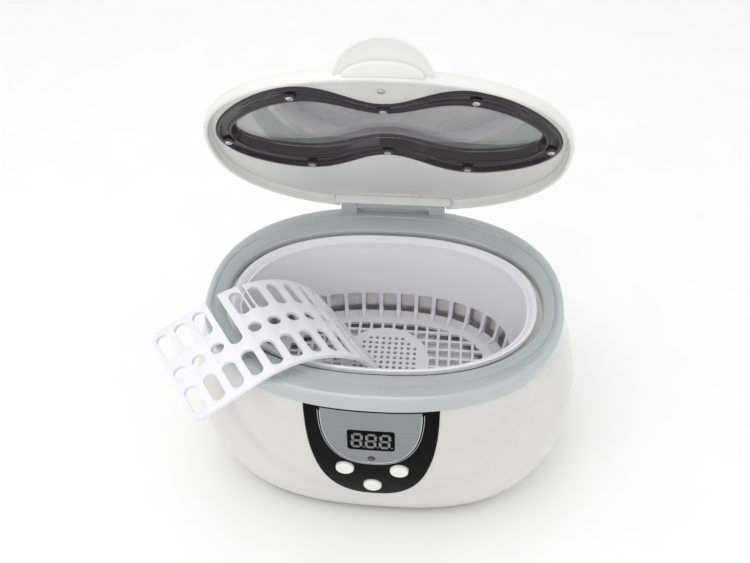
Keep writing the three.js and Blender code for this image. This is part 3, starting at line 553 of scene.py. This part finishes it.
carve(ring, block("hinge_pocket", (42.6, 18, 10), (0, PIN_Y, PIN_Z + 0.6)))
for side in (-1, 1):
    carve(ring, cheek(side), "UNION")
carve(ring, peg("pin_bore", 1.8, 64, (0, PIN_Y, PIN_Z), axis="X", sides=32))
settle(ring, "base", "grey_ring", sage_ring, "rim_ring", angle=38)

# %% [markdown]
# ## The tank
# The tank is pressed from one sheet of stainless steel, with a wide flange that hangs on a
# gasket. Only glimpses show through the basket, but they carry bright, soft reflections, so its
# floor meets its wall in a real radius.

# %% Tank
tank_low, tank_high = (corner.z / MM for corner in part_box("tank"))
TANK_FLOOR = tank_low + 1
tank_levels = [(oval(72 - 6 + 6 * math.sin(k), 43.5 - 6 + 6 * math.sin(k), TANK_FLOOR + 6 - 6 * math.cos(k)))
               for k in (i * math.pi / 16 for i in range(9))]
tank_levels += [oval(lerp(72, 77.5, k), lerp(43.5, 49, k), lerp(TANK_FLOOR + 6, tank_high - 1.6, k))
                for k in (0.25, 0.5, 0.75, 1)]
tank_levels += [oval(77.9, 49.4, tank_high - 0.6), oval(78.8, 50.3, tank_high - 0.1),
                oval(84.4, 55.9, tank_high - 0.1)]
tank = skin("tank_drawn", tank_levels, sides=160)
take(tank)
bpy.ops.object.mode_set(mode="EDIT")
bpy.ops.mesh.select_mode(type="EDGE")
bpy.ops.mesh.select_all(action="DESELECT")
mesh = bmesh.from_edit_mesh(tank.data)
for edge in mesh.edges:
    edge.select = edge.is_boundary and edge.verts[0].co.z < (TANK_FLOOR + 1) * MM
mesh.select_flush(True)
bpy.ops.mesh.edge_face_add()
bpy.ops.object.mode_set(mode="OBJECT")
modify(tank, "SOLIDIFY", thickness=0.8 * MM, offset=0)
settle(tank, "base", "stainless", tank_steel, "tank", angle=40)

# %% [markdown]
# ## The lift-out basket
# The basket is a white tub with a plain upper wall, tall slots round its foot, a square grid for
# its floor and a solid disc with small drain holes in the middle. It is made as a solid tub
# first, and every opening is then cut at once by one joined set of cutters, because one cut is
# quicker and cleaner than three hundred.

# %% Basket tub
basket_low, basket_high = (corner.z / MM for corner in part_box("basket"))
FLOOR = basket_low + 1.8
tub = [oval(66 + 3.6 * math.sin(k), 37.5 + 3.6 * math.sin(k), basket_low + 3.6 - 3.6 * math.cos(k))
       for k in (i * math.pi / 12 for i in range(7))]
tub += [oval(lerp(69.6, 75.3, k), lerp(41.1, 46.8, k), lerp(58, 99.3, k)) for k in (0.2, 0.4, 0.6, 0.8, 1)]
tub += [oval(79.6, 50.3, 99.25), oval(80.3, 51, 99.6), oval(80.3, 51, basket_high - 0.8),
        oval(80.05, 50.75, basket_high - 0.2), oval(79.5, 50.2, basket_high),
        oval(78.3, 49.3, basket_high - 0.5), oval(76.8, 48.1, basket_high - 2.2),
        oval(75.5, 47, basket_high - 4.6), oval(74.5, 46, basket_high - 8)]
tub += [oval(lerp(73.8, 67.9, k), lerp(45.3, 39.4, k), lerp(basket_high - 12, 58.4, k))
        for k in (0, 0.33, 0.66, 1)]
tub += [oval(67.8 - 5.4 * (1 - math.cos(k)), 39.3 - 5.4 * (1 - math.cos(k)), FLOOR + 5.4 - 5.4 * math.sin(k))
        for k in (i * math.pi / 14 for i in range(1, 8))]
basket = skin("basket_tub", tub, sides=200, capped=True)
print("tub", len(basket.data.polygons), "faces")


# %% [markdown]
# The wall slots stand at even steps along the oval, so the oval is first measured out by its
# length. The floor holes are one square peg copied in rows, trimmed to the shape of the grid.


# %% Basket openings
def even_places(a, b, count):
    """Evenly spaced places along a squared oval: (x, y, direction of the outward normal)."""
    line = [Vector(oval(a, b, 0)(2 * math.pi * i / 720)) for i in range(721)]
    reach = [0.0]
    for p, q in zip(line, line[1:]):
        reach.append(reach[-1] + (q - p).length)
    found = []
    i = 0
    for k in range(count):
        goal = (k + 0.5) * reach[-1] / count
        while reach[i + 1] < goal:
            i += 1
        p = line[i].lerp(line[i + 1], (goal - reach[i]) / (reach[i + 1] - reach[i]))
        step = line[i + 1] - line[i]
        found.append((p.x, p.y, math.atan2(step.y, step.x) - math.pi / 2))
    return found


def rows_of(peg_piece, name, spots):
    """Copies of one peg at many spots, joined into one cutter."""
    copies = [copy_of(peg_piece, f"{name}_{i}", moved(*spot)) for i, spot in enumerate(spots)]
    bpy.data.objects.remove(peg_piece)
    return joined(name, copies)


slot_peg = block("slot_peg", (13, 8.2, 13.8), (0, 0, 0), round_=0)
modify(slot_peg, "BEVEL", width=1.1 * MM, segments=3, limit_method="ANGLE", angle_limit=math.radians(30))
slots = []
for x, y, turn in even_places(68.6, 40.1, 34):
    spin = moved(x, y, FLOOR + 6.3) @ Matrix.Rotation(turn, 4, "Z")
    slots.append(copy_of(slot_peg, f"slot_{len(slots)}", spin))
bpy.data.objects.remove(slot_peg)
slots = joined("slots", slots)

PITCH, BAR = 6.6, 1.6
grid = rows_of(
    block("grid_peg", (PITCH - BAR, PITCH - BAR, 6), (0, 0, FLOOR)), "grid",
    [(i * PITCH, j * PITCH, 0) for i in range(-8, 9) for j in range(-4, 5)],
)
field = skin("grid_field", [oval(56.5, 29.5, FLOOR - 8), oval(56.5, 29.5, FLOOR + 8)], capped=True, sides=96)
carve(field, peg("disc_keep", 25, 20, (0, 0, FLOOR), sides=96))
carve(grid, field, "INTERSECT")
drain = rows_of(
    peg("drain_peg", 1.1, 6, (0, 0, FLOOR), sides=10), "drain",
    [((i - 4.5) * 3.7, (j - 4.5) * 3.7, 0) for i in range(10) for j in range(10)
     if math.hypot(i - 4.5, j - 4.5) < 5.4],
)
carve(basket, joined("basket_cutters", [slots, grid, drain]))
settle(basket, "basket", "basket_white", basket_white, "basket", angle=32)

# %% [markdown]
# ## The control panel
# A gloss black U, a brushed grey inlay inside it with a fine double silver line, and a dark
# display window. Each is a thin patch of the bowl's own skin, grown outwards by a fraction of a
# millimetre and trimmed by a U, so it follows the belly exactly.


# %% Panel
def patch(name, grow, thick):
    """A closed patch of the bowl's front, grown outwards."""
    rows = [bowl(lerp(26, NECK_Z + 0.1, k / 40), grow) for k in range(41)]
    piece = skin(name, rows, sides=288)
    modify(piece, "SOLIDIFY", thickness=thick * MM, offset=-1)
    return piece


panel = patch("panel_plate", 0.5, 2.6)
carve(panel, u_cutter("panel_trim", 65, 30, NECK_Z, grow=-0.05, more=3), "INTERSECT")
for x, z in ((-13.7, 54.5), (13.7, 54.5), (0, 40.5)):
    carve(panel, peg("button_hole", 5.1, 30, (x, -70, z), axis="Y", radius_2=4.9))
soften(panel, 0.25 * MM, angle=50)
settle(panel, "base", "panel_black", panel_black, "control_panel")

inlay = patch("panel_inlay_plate", 0.62, 1.0)
carve(inlay, u_cutter("inlay_trim", 49, 60, 95.5, more=1.6), "INTERSECT")
carve(inlay, peg("led_hole", 1.9, 30, (0, -70, 63.5), axis="Y"))
settle(inlay, "base", "panel_inlay", inlay_metal, "panel_inlay")


# %% [markdown]
# The silver edging is a fine wire laid on the panel's face along the inlay's edge, with a second
# one just outside it. A bent line of points becomes a curve with a round section, and is then
# made a mesh.


# %% Silver edging
def wire(name, points, radius):
    """A fine wire through the points, in millimetres, as a mesh."""
    let_go()
    line = bpy.data.curves.new(name, "CURVE")
    line.dimensions = "3D"
    line.bevel_depth = radius * MM
    line.bevel_resolution = 2
    line.use_fill_caps = True
    spline = line.splines.new("POLY")
    spline.points.add(len(points) - 1)
    for point, place in zip(spline.points, points):
        point.co = (*(Vector(place) * MM), 1)
    piece = bpy.data.objects.new(name, line)
    scene.collection.objects.link(piece)
    take(piece)
    bpy.ops.object.convert(target="MESH")
    return bpy.context.object


def u_line(width, bottom, level, grow, out, count=90):
    """Points along a U on the bowl's front, standing out by out."""
    points = []
    for i in range(count + 1):
        t = math.pi + math.pi * i / count
        x = (width / 2 + grow) * squared(math.cos(t), 2.5)
        z = min(level + (level - bottom + grow) * squared(math.sin(t), 2.5), NECK_Z)
        points.append((x, front_of(x, z, out), z))
    return points


edging = joined("inlay_edging", [
    wire("edge_inner", u_line(49, 60, 95.5, 0.0, 0.6), 0.28),
    wire("edge_outer", u_line(49, 60, 95.5, 1.15, 0.5), 0.16),
])
settle(edging, "base", "panel_inlay", trim_silver, angle=60)

# %% [markdown]
# The display is a dark rounded window with three unlit seven-segment digits. One segment is a
# flat bar whose ends come to a point. It is modelled once, copied for each place in a digit, and
# laid back onto the curved front.

# %% Display
DISPLAY_Z, DISPLAY_W, DISPLAY_H = 77.2, 23.4, 14.3
glass = patch("display_glass_pane", 0.72, 1.1)
window_trim = block("display_trim", (DISPLAY_W, 60, DISPLAY_H), (0, -70, DISPLAY_Z))
modify(window_trim, "BEVEL", width=1.6 * MM, segments=4, limit_method="ANGLE", angle_limit=math.radians(30))
carve(glass, window_trim, "INTERSECT")
settle(glass, "base", "display_glass", display_dark, "display_window")

let_go()
bpy.ops.mesh.primitive_cube_add(size=1)
bpy.context.object.scale = (3.3 * MM, 0.16 * MM, 0.72 * MM)
segment = fresh("segment")
pick_faces(segment, lambda c, n: abs(n.x) > 0.9)
bpy.ops.mesh.extrude_faces_move(TRANSFORM_OT_shrink_fatten={"value": 0.35 * MM})
bpy.ops.object.mode_set(mode="OBJECT")
for vertex in segment.data.vertices:
    if abs(vertex.co.x) > 1.9 * MM:
        vertex.co.z = 0
outward(segment)
digits = []
for number in range(3):
    middle = (number - 1) * 6.9
    bars = [(0, 4.5, 0), (0, 0, 0), (0, -4.5, 0)] + [(x, z, 90) for x in (-2.15, 2.15) for z in (-2.25, 2.25)]
    for x, z, turn in bars:
        lean = 0.08 * z
        at = (middle + x + lean, front_of(middle + x, DISPLAY_Z + z, 0.72) - 0.02, DISPLAY_Z + z)
        place = moved(*at) @ Matrix.Rotation(math.radians(turn), 4, "Y")
        digits.append(copy_of(segment, f"bar_{len(digits)}", place))
    at = (middle + 3.3, front_of(middle + 3.3, DISPLAY_Z - 4.7, 0.72) + 0.05, DISPLAY_Z - 4.7)
    digits.append(peg(f"point_{number}", 0.42, 0.3, at, axis="Y", sides=16))
bpy.data.objects.remove(segment)
digits = joined("display_digits", digits)
settle(digits, "base", "led_block", digit_grey, angle=20)

# %% [markdown]
# ## Buttons and the status light
# Each button is an oval dome standing proud of the panel. It starts as a short peg, its front
# face is inset and pushed forward in steps, and a subdivision rounds the steps into a dome.


# %% Buttons
def dome_button(name, x, z, reach=2.0):
    """An oval dome on the panel's front, facing -Y."""
    front = front_of(x, z, 0.5)
    button = peg(name, 4.8, 6, (x, front + 3 - 0.7, z), axis="Y", sides=40, radius_2=4.6)
    for inset, push in ((0.25, 0.45), (1.1, 0.55), (1.6, 0.2)):
        pick_faces(button, lambda c, n: n.y < -0.95)
        bpy.ops.mesh.inset(thickness=inset * MM)
        bpy.ops.transform.translate(value=(0, -push * reach / 2 * MM, 0))
        bpy.ops.object.mode_set(mode="OBJECT")
    modify(button, "SUBSURF", levels=2, render_levels=2)
    return button


for place, x, z in (("left", -13.7, 54.5), ("right", 13.7, 54.5), ("centre", 0, 40.5)):
    button = dome_button(f"button_dome_{place}", x, z)
    settle(button, f"button_{place}", "button_white", button_white, f"button_{place}", angle=60)

let_go()
led_at = Vector((0, front_of(0, 63.5, 0.3), 63.5)) * MM
bpy.ops.mesh.primitive_uv_sphere_add(segments=24, ring_count=12, radius=1.6 * MM, location=led_at)
bpy.context.object.scale = (1, 0.6, 1)
lamp_lens = fresh("status_led_dome")
pick_faces(lamp_lens, lambda c, n: n.y > 0.5)
bpy.ops.mesh.extrude_region_move(TRANSFORM_OT_translate={"value": (0, 1.5 * MM, 0)})
bpy.ops.object.mode_set(mode="OBJECT")
settle(lamp_lens, "base", "led_lens", led_clear, "status_led", angle=60)

# %% [markdown]
# ## The lid
# The lid is drawn closed, where its shapes are simple ovals, and then swung open about the hinge
# pin, which puts its open place into the mesh. Its parts are a domed white shell, a grey-green
# barrel on the pin, a pale liner, a dark smoked channel with eight small screws, and the smoked
# pane. The shell's outlines shrink almost to a point at the crown, and a small peg inside the
# wall closes what they leave open.

# %% Lid shell
SEAT = CREST + 0.6
SKIRT_TOP = SEAT + 4
LID_A, LID_B = 91.7, 71  # half the lid's length and width
DOME_RISE = 13
OPEN = math.radians(61)
hinge = Vector((0, PIN_Y, PIN_Z)) * MM
swing = Matrix.Translation(hinge) @ Matrix.Rotation(-OPEN, 4, "X") @ Matrix.Translation(-hinge)
LINER = SEAT + 4.6


def dome(inset, top_shares=(0.99, 0.97, 0.94, 0.9, 0.84, 0.76, 0.66, 0.54, 0.4, 0.26, 0.1, 0.004)):
    """Outlines of the dome above the skirt, drawn in by inset."""
    rise = DOME_RISE - inset
    return [oval((LID_A - inset) * s, (LID_B - inset) * s, SKIRT_TOP + rise * (1 - s ** 2) ** 0.5)
            for s in top_shares]


wall = 2.2
rim = [oval(LID_A - wall, LID_B - wall, SEAT + 0.5), oval(91.2 - wall / 2, 70.5 - wall / 2, SEAT),
       oval(91.3, 70.6, SEAT + 0.15), oval(LID_A, LID_B, SEAT + 0.8), oval(LID_A, LID_B, SEAT + 2.4),
       oval(LID_A, LID_B, SKIRT_TOP)]
inner = [oval(LID_A - wall, LID_B - wall, SKIRT_TOP), oval(LID_A - wall, LID_B - wall, SEAT + 2.4)]
lid_shell = skin("lid_dome", rim + dome(0) + dome(wall)[::-1] + inner, sides=224, closed=True)
outward(lid_shell)
carve(lid_shell, peg("crown", 1.2, 1.95, (0, 0, SKIRT_TOP + 11.925)), "UNION")

# %% [markdown]
# The window's outline is an eyeglass: an oval drawn in at its middle, sitting forward of the
# lid's centre with its ends bowed back. Outlines between the flange's edge and the pane's edge
# come from mixing the two, so the channel keeps an even section right round the waist.


# %% Window outlines
FLANGE_A, FLANGE_B, FLANGE_WAIST = 86, 50, 0.484
PANE_A, PANE_B, PANE_WAIST = 76, 31, 0.54
WINDOW_Y = -17  # the window's middle line, at the waist
WAIST_SPREAD = 28


def middle_line(x):
    """How far back the window's middle line lies, its ends bowed towards the hinge."""
    return WINDOW_Y + 11 * (x / FLANGE_A) ** 2


def eyeglass(mix, z, grow=0.0):
    """The window's outline at a mix of 0, the flange's edge, to 1, the pane's edge."""
    a, b = lerp(FLANGE_A, PANE_A, mix) + grow, lerp(FLANGE_B, PANE_B, mix) + grow
    waist = lerp(FLANGE_WAIST, PANE_WAIST, mix)

    def at(t):
        x = a * math.cos(t)
        pinch = 1 - waist * math.exp(-((x / WAIST_SPREAD) ** 2))
        return (x, middle_line(x) + b * math.sin(t) * pinch, z)

    return at


def shrunk(z, share):
    """The pane's outline drawn in towards the window's middle line."""
    edge = eyeglass(1, z)

    def at(t):
        x, y, height = edge(t)
        x *= share
        middle = middle_line(x)
        angle = math.acos(max(-1, min(1, x / PANE_A))) * (1 if math.sin(t) >= 0 else -1)
        full = edge(angle)[1] - middle
        return (x, middle + full * share, height)

    return at


well = skin("window_well", [eyeglass(1, LINER + 1, 0.3), eyeglass(1, LINER + 20, 0.3)], capped=True)
carve(lid_shell, well)
tab = peg("finger_tab", 22.3, 2.4, (0, 0, 0), sides=96)
pick_faces(tab, lambda c, n: n.z < -0.9)
bpy.ops.mesh.inset(thickness=1.2 * MM)
bpy.ops.transform.translate(value=(0, 0, 0.7 * MM))
bpy.ops.object.mode_set(mode="OBJECT")
soften(tab, 0.35 * MM)
neck = peg("tab_neck", 18, 3.2, (0, -10.5, -1), sides=96)
neck.data.transform(Matrix.Diagonal((1, 0.42, 1, 1)))
soften(neck, 1.2 * MM, segments=4)
carve(tab, neck, "UNION")
tab.data.transform(moved(1.8, -65.8, SEAT + 1) @ Matrix.Rotation(math.radians(-30), 4, "X"))
inner_walls = [oval(90.2, 69.5, SEAT - 20), oval(90.2, 69.5, SKIRT_TOP)]
inside = skin("dome_inside", inner_walls + dome(1.5), capped=True, sides=96)
carve(tab, inside)
carve(tab, block("rim_level", (60, 40, 20), (0, -75, SEAT + 1.4 - 10)))
carve(lid_shell, tab, "UNION")

for side in (-1, 1):
    carve(lid_shell, block("cheek_room", (10.2, 30, 60), (side * 25.5, PIN_Y - 4.6 + 15, SEAT + 10)))
lip = block("rear_lip", (66, 4.4, 5.4), (0, 65.1, SEAT + 2.7))
carve(lip, block("lip_room", (62.8, 9, 8), (0, 69, SEAT + 2.7)))
soften(lip, 0.5 * MM)
carve(lid_shell, lip, "UNION")
carve(lid_shell, peg("pin_room", 3.5, 64, (0, PIN_Y, PIN_Z), axis="X", sides=32))
lid_shell.data.transform(swing)
settle(lid_shell, "lid", "white_lid", white_lid, "lid_shell", angle=35)

barrel = peg("lid_barrel", 3.5, 41.4, (0, PIN_Y, PIN_Z), axis="X", sides=48)
soften(barrel, 0.4 * MM)
carve(barrel, peg("pin_bore", 1.8, 64, (0, PIN_Y, PIN_Z), axis="X", sides=32))
barrel.data.transform(swing)
settle(barrel, "lid", "grey_ring", sage_ring, angle=40)

# %% Lid liner
liner_loops = [oval(a, b, z) for a, b, z in (
    (88.9, 68.2, LINER + 1.9), (89.0, 68.3, LINER + 0.5), (88.5, 67.8, LINER),
    (87.0, 66.3, LINER - 0.35), (86.2, 65.5, LINER - 0.05), (84, 63.3, LINER + 0.05),
    (70, 52, LINER), (45, 34, LINER), (15, 12, LINER))]
lid_liner = skin("lid_liner_tray", liner_loops, sides=192)
take(lid_liner)
bpy.ops.object.mode_set(mode="EDIT")
bpy.ops.mesh.select_all(action="SELECT")
bpy.ops.mesh.fill_holes(sides=0)
bpy.ops.mesh.select_all(action="SELECT")
bpy.ops.mesh.normals_make_consistent(inside=False)
bpy.ops.object.mode_set(mode="OBJECT")
liner_window = [eyeglass(0, LINER - 5, 0.2), eyeglass(0, LINER + 5, 0.2)]
carve(lid_liner, skin("liner_window", liner_window, capped=True))
carve(lid_liner, block("hinge_room", (66.8, 30, 20), (0, 62.6 + 15, LINER)))
pocket = block("liner_pocket", (30, 3.6, 1.6), (0, 58.9, LINER), round_=0.4)
carve(lid_liner, pocket)
soften(lid_liner, 0.3 * MM, angle=50)
lid_liner.data.transform(swing)
settle(lid_liner, "lid", "lid_liner", liner_satin, "lid_liner", angle=30)

# %% [markdown]
# The smoked moulding runs round the pane as a channel: a bead at its outer edge, a shallow step,
# a second bead, and a wall that drops to the pane. A boss carries each screw. The pane is drawn
# in from the channel's inner edge to a thin sheet, and its alpha lets the light through.

# %% Smoked window
channel_section = [
    (0.0, 1.6), (0.0, 0.2), (0.05, -0.35), (0.13, -0.55), (0.20, -0.3), (0.25, 0.5), (0.42, 0.95),
    (0.60, 0.9),
    (0.66, 0.2), (0.72, -0.05), (0.79, 0.15), (0.84, 0.9), (0.93, 2.9), (0.98, 3.6), (1.02, 4.9),
    (0.9, 4.9), (0.80, 2.4), (0.4, 2.4),
]
channel_loops = [eyeglass(mix, LINER + z) for mix, z in channel_section]
channel = skin("smoked_channel_moulding", channel_loops, sides=256, closed=True)
screw_places = []
for degrees in (8, -59, -90, -121, 172, 120, 90, 60):
    t = math.radians(degrees)
    x = 82.2 * math.cos(t)
    b = 45 if degrees > 0 else 40.5
    pinch = 1 - 0.512 * math.exp(-((x / WAIST_SPREAD) ** 2))
    screw_places.append((x, middle_line(x) + b * math.sin(t) * pinch))
for x, y in screw_places:
    boss = peg("boss", 2.9, 3.2, (x, y, LINER + 1.2), sides=28)
    soften(boss, 0.3 * MM)
    carve(channel, boss, "UNION")
channel.data.transform(swing)
settle(channel, "lid", "smoked_window", smoke_channel, "lid_window", angle=40)

pane_shares = (1.0, 0.93, 0.84, 0.72, 0.58, 0.42, 0.26, 0.1)
pane_loops = [shrunk(LINER + 4.3 - 0.8 * (1 - s * s), s) for s in pane_shares]
pane = skin("smoked_pane_sheet", pane_loops, sides=256)
take(pane)
bpy.ops.object.mode_set(mode="EDIT")
bpy.ops.mesh.select_mode(type="EDGE")
mesh = bmesh.from_edit_mesh(pane.data)
for edge in mesh.edges:
    edge.select = edge.is_boundary and all(
        abs(v.co.x) < 9 * MM and abs(v.co.y + 17 * MM) < 4 * MM for v in edge.verts)
mesh.select_flush(True)
bpy.ops.mesh.edge_face_add()
bpy.ops.object.mode_set(mode="OBJECT")
modify(pane, "SOLIDIFY", thickness=1.4 * MM, offset=0)
pane.data.transform(swing)
settle(pane, "lid", "smoked_window", smoke_pane, angle=40)

# %% [markdown]
# ## Screws
# A small pan-head screw: a short peg whose lower face is inset and drawn down for the head's
# crown, with a cross pressed into it. One is modelled and copied to every place.


# %% Screws
def pan_screw(name, head, shank, length):
    """A pan-head screw whose head hangs below z = 0 and whose shank goes up."""
    screw = peg(name, head, head * 0.42, (0, 0, -head * 0.21), sides=32)
    pick_faces(screw, lambda c, n: n.z < -0.9)
    bpy.ops.mesh.inset(thickness=head * 0.3 * MM)
    bpy.ops.transform.translate(value=(0, 0, -head * 0.16 * MM))
    pick_faces(screw, lambda c, n: n.z > 0.9)
    bpy.ops.mesh.inset(thickness=(head - shank) * MM)
    bpy.ops.mesh.extrude_region_move(TRANSFORM_OT_translate={"value": (0, 0, length * MM)})
    bpy.ops.object.mode_set(mode="OBJECT")
    for size in ((head * 1.1, head * 0.26), (head * 0.26, head * 1.1)):
        carve(screw, block("cross", (*size, head * 0.5), (0, 0, -head * 0.62)))
    return screw


lid_screw = pan_screw("lid_screw", 1.75, 1.0, 3)
for number, (x, y) in enumerate(screw_places, start=1):
    piece = copy_of(lid_screw, f"window_screw_pan_{number}", swing @ moved(x, y, LINER - 0.5))
    settle(piece, "lid", "bright_metal", screw_bright, f"window_screw_{number}")
piece = copy_of(lid_screw, "liner_screw_pan", swing @ moved(0, -54.5, LINER - 0.05))
settle(piece, "lid", "bright_metal", screw_bright, "liner_screw")
bpy.data.objects.remove(lid_screw)
base_screw = pan_screw("base_screw", 2.8, 1.5, 9)
for end, y in (("front", -45), ("rear", 45)):
    for side, x in (("left", -34), ("right", 34)):
        piece = copy_of(base_screw, f"base_screw_pan_{end}_{side}", moved(x, y, 1.9))
        settle(piece, "base", "bright_metal", screw_bright, f"base_screw_{end}_{side}")
bpy.data.objects.remove(base_screw)

# %% [markdown]
# ## The loose sieve plate
# The plate is a flat strip with two rows of long slots and a row of round holes between them,
# and two notches cut in from its back edge. It is cut flat, sliced into narrow strips across, and
# only then bent, so that the bend is smooth and every hole keeps its shape along the surface.

# %% Sieve plate
LEFT, RIGHT, WIDE, THICK = 71.7, 66.0, 63.0, 2.0
BEND_R, BEND = 54.2, math.radians(79)
COLUMNS = 13
let_go()
bpy.ops.mesh.primitive_cube_add(size=1, location=Vector(((RIGHT - LEFT) / 2, 0, -THICK / 2)) * MM)
bpy.context.object.scale = Vector((LEFT + RIGHT, WIDE, THICK)) * MM
sieve = fresh("sieve_plate")
take(sieve)
bpy.ops.object.mode_set(mode="EDIT")
bpy.ops.mesh.select_mode(type="EDGE")
bpy.ops.mesh.select_all(action="DESELECT")
mesh = bmesh.from_edit_mesh(sieve.data)
for edge in mesh.edges:
    a, b = edge.verts
    edge.select = abs(a.co.z - b.co.z) > 1e-4
bmesh.update_edit_mesh(sieve.data)
bpy.ops.mesh.bevel(offset=4.5 * MM, segments=6, affect="EDGES")
bpy.ops.object.mode_set(mode="OBJECT")


def round_slot(name, s, y, long, wide):
    """An upright cutter with round ends, long across the plate."""
    cutter = peg(name, wide / 2, 8, (s, y, -1), sides=24)
    half = max(long - wide, 0) / 2 * MM
    for vertex in cutter.data.vertices:
        if vertex.co.y > (y + 0.01) * MM:
            vertex.co.y += half
        elif vertex.co.y < (y - 0.01) * MM:
            vertex.co.y -= half
    if half:
        for vertex in cutter.data.vertices:
            if abs(vertex.co.y - y * MM) < 0.02 * MM:
                vertex.co.y += half
        outward(cutter)
    return cutter


step = (LEFT + RIGHT) / COLUMNS
cutters = []
for column in range(COLUMNS):
    s = (column + 0.5) * step - LEFT
    cutters.append(round_slot(f"near_{column}", s, -19.5, 17.5, 6.8))
    if column == 3:
        cutters.append(round_slot("notch", s - 0.5, 19, 47, 7.2))
        continue
    cutters.append(round_slot(f"middle_{column}", s, 0, 0, 7.0))
    cutters.append(round_slot(f"far_{column}", s, 19.5, 17.5, 6.8))
cutters.append(round_slot("slit", 5 * step - LEFT, 29, 34, 2.6))
carve(sieve, joined("sieve_cutters", cutters))
take(sieve)
bpy.ops.object.mode_set(mode="EDIT")
bpy.ops.mesh.select_all(action="SELECT")
slices = 92
for number in range(1, slices):
    s = (number / slices * (LEFT + RIGHT) - LEFT + 0.013) * MM
    bpy.ops.mesh.select_all(action="SELECT")
    bpy.ops.mesh.bisect(plane_co=(s, 0, 0), plane_no=(1, 0, 0))
bpy.ops.object.mode_set(mode="OBJECT")
soften(sieve, 0.35 * MM, angle=60)


def bent(s, y, h):
    """Where a place on the flat strip goes when the strip is bent about Y."""
    half = BEND / 2
    turn = max(-half, min(half, s / BEND_R))
    past = math.copysign(max(abs(s) - BEND_R * half, 0), s)
    r = BEND_R + h
    return Vector((
        r * math.sin(turn) + past * math.cos(turn), y,
        r * math.cos(turn) - BEND_R - abs(past) * math.sin(abs(turn)),
    ))


turn = Matrix.Rotation(math.radians(35.5), 4, "Z") @ Matrix.Rotation(math.radians(24.1), 4, "Y")
lean = moved(-41.3, -23.3, 109.3) @ turn
for vertex in sieve.data.vertices:
    vertex.co = lean @ (bent(*(vertex.co / MM)) * MM)
settle(sieve, "insert", "insert_white", sieve_white, "sieve_insert", angle=30)

# %% [markdown]
# ## Feet
# Four soft rubber feet carry the cleaner. One is a low peg with a rounded tread and a shallow
# ring pressed in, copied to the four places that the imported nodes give.

# %% Feet
tread = peg("tread", 6.5, 2.4, (0, 0, -0.3), sides=48)
pick_faces(tread, lambda c, n: n.z < -0.9)
bpy.ops.mesh.inset(thickness=2.0 * MM)
bpy.ops.mesh.inset(thickness=1.0 * MM)
bpy.ops.transform.translate(value=(0, 0, 0.4 * MM))
bpy.ops.object.mode_set(mode="OBJECT")
soften(tread, 0.3 * MM)
for end in ("front", "rear"):
    for side in ("left", "right"):
        low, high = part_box(f"foot_{end}_{side}")
        middle = (low + high) / 2
        piece = copy_of(tread, f"rubber_foot_{end}_{side}", Matrix.Translation((middle.x, middle.y, 0)))
        settle(piece, "base", "rubber", foot_rubber, f"foot_{end}_{side}")
bpy.data.objects.remove(tread)

# %% [markdown]
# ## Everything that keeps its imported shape
# The base plate, the inlet and the parts inside are already right, so they only get finishes.

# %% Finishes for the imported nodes
finishes = {
    "base_plate": base_dark, "mains_inlet": base_dark, "tank_gasket": foot_rubber, "hinge_pin": screw_bright,
    "piezo_transducer": ceramic_tan, "display_board": board_green, "power_board": board_green,
    "led_display": led_block, "drive_transformer": copper_wire, "heat_sink": sink_aluminium,
    "capacitor": component_black, "fuse": ceramic_tan, "inlet_pin_left": screw_bright,
    "inlet_pin_right": screw_bright, "tact_switch_left": component_black,
    "tact_switch_right": component_black, "tact_switch_centre": component_black,
}
for name, material in finishes.items():
    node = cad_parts[name]
    node.data.materials.clear()
    node.data.materials.append(material)
shown = [name for name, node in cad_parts.items() if not node.hide_render]
print("packed nodes shown", len(shown), "without a finish", sorted(set(shown) - set(finishes)))

# %% [markdown]
# ## Floor and light
# A plain pale floor and soft studio light: a large panel overhead, a softer one from the front
# left, and a bright surround, so that the white plastic shades gently and the ring's crest
# catches one clean line.

# %% Floor, lights and surround
let_go()
bpy.ops.mesh.primitive_plane_add(size=6, location=(0, 0, cad_box[0].z - 0.0001))
floor = bpy.context.object
floor.name = "floor"
floor.data.materials.append(plastic("floor_paper", (0.93, 0.93, 0.93), 0.7, drift=0.01, grain=60, bump=0.02))


def softbox(name, at, size, power, color=(1, 1, 1)):
    """A large square light that faces the object."""
    data = bpy.data.lights.new(name, "AREA")
    data.size = size
    data.energy = power
    data.color = color
    lamp = bpy.data.objects.new(name, data)
    scene.collection.objects.link(lamp)
    lamp.location = at
    lamp.rotation_euler = (Vector((0, 0, 0.08)) - Vector(at)).to_track_quat("-Z", "Y").to_euler()


softbox("overhead", (-0.15, -0.1, 1.1), 0.7, 2.4)
softbox("front_left", (-0.75, -0.9, 0.55), 0.6, 1.3, (1, 0.985, 0.96))
softbox("front_right", (0.9, -0.6, 0.5), 0.5, 0.6)
surround = bpy.data.worlds.new("surround")
surround.use_nodes = True
surround.node_tree.nodes["Background"].inputs["Color"].default_value = (1, 1, 1, 1)
surround.node_tree.nodes["Background"].inputs["Strength"].default_value = 0.9
scene.world = surround
scene.view_settings.view_transform = "Standard"
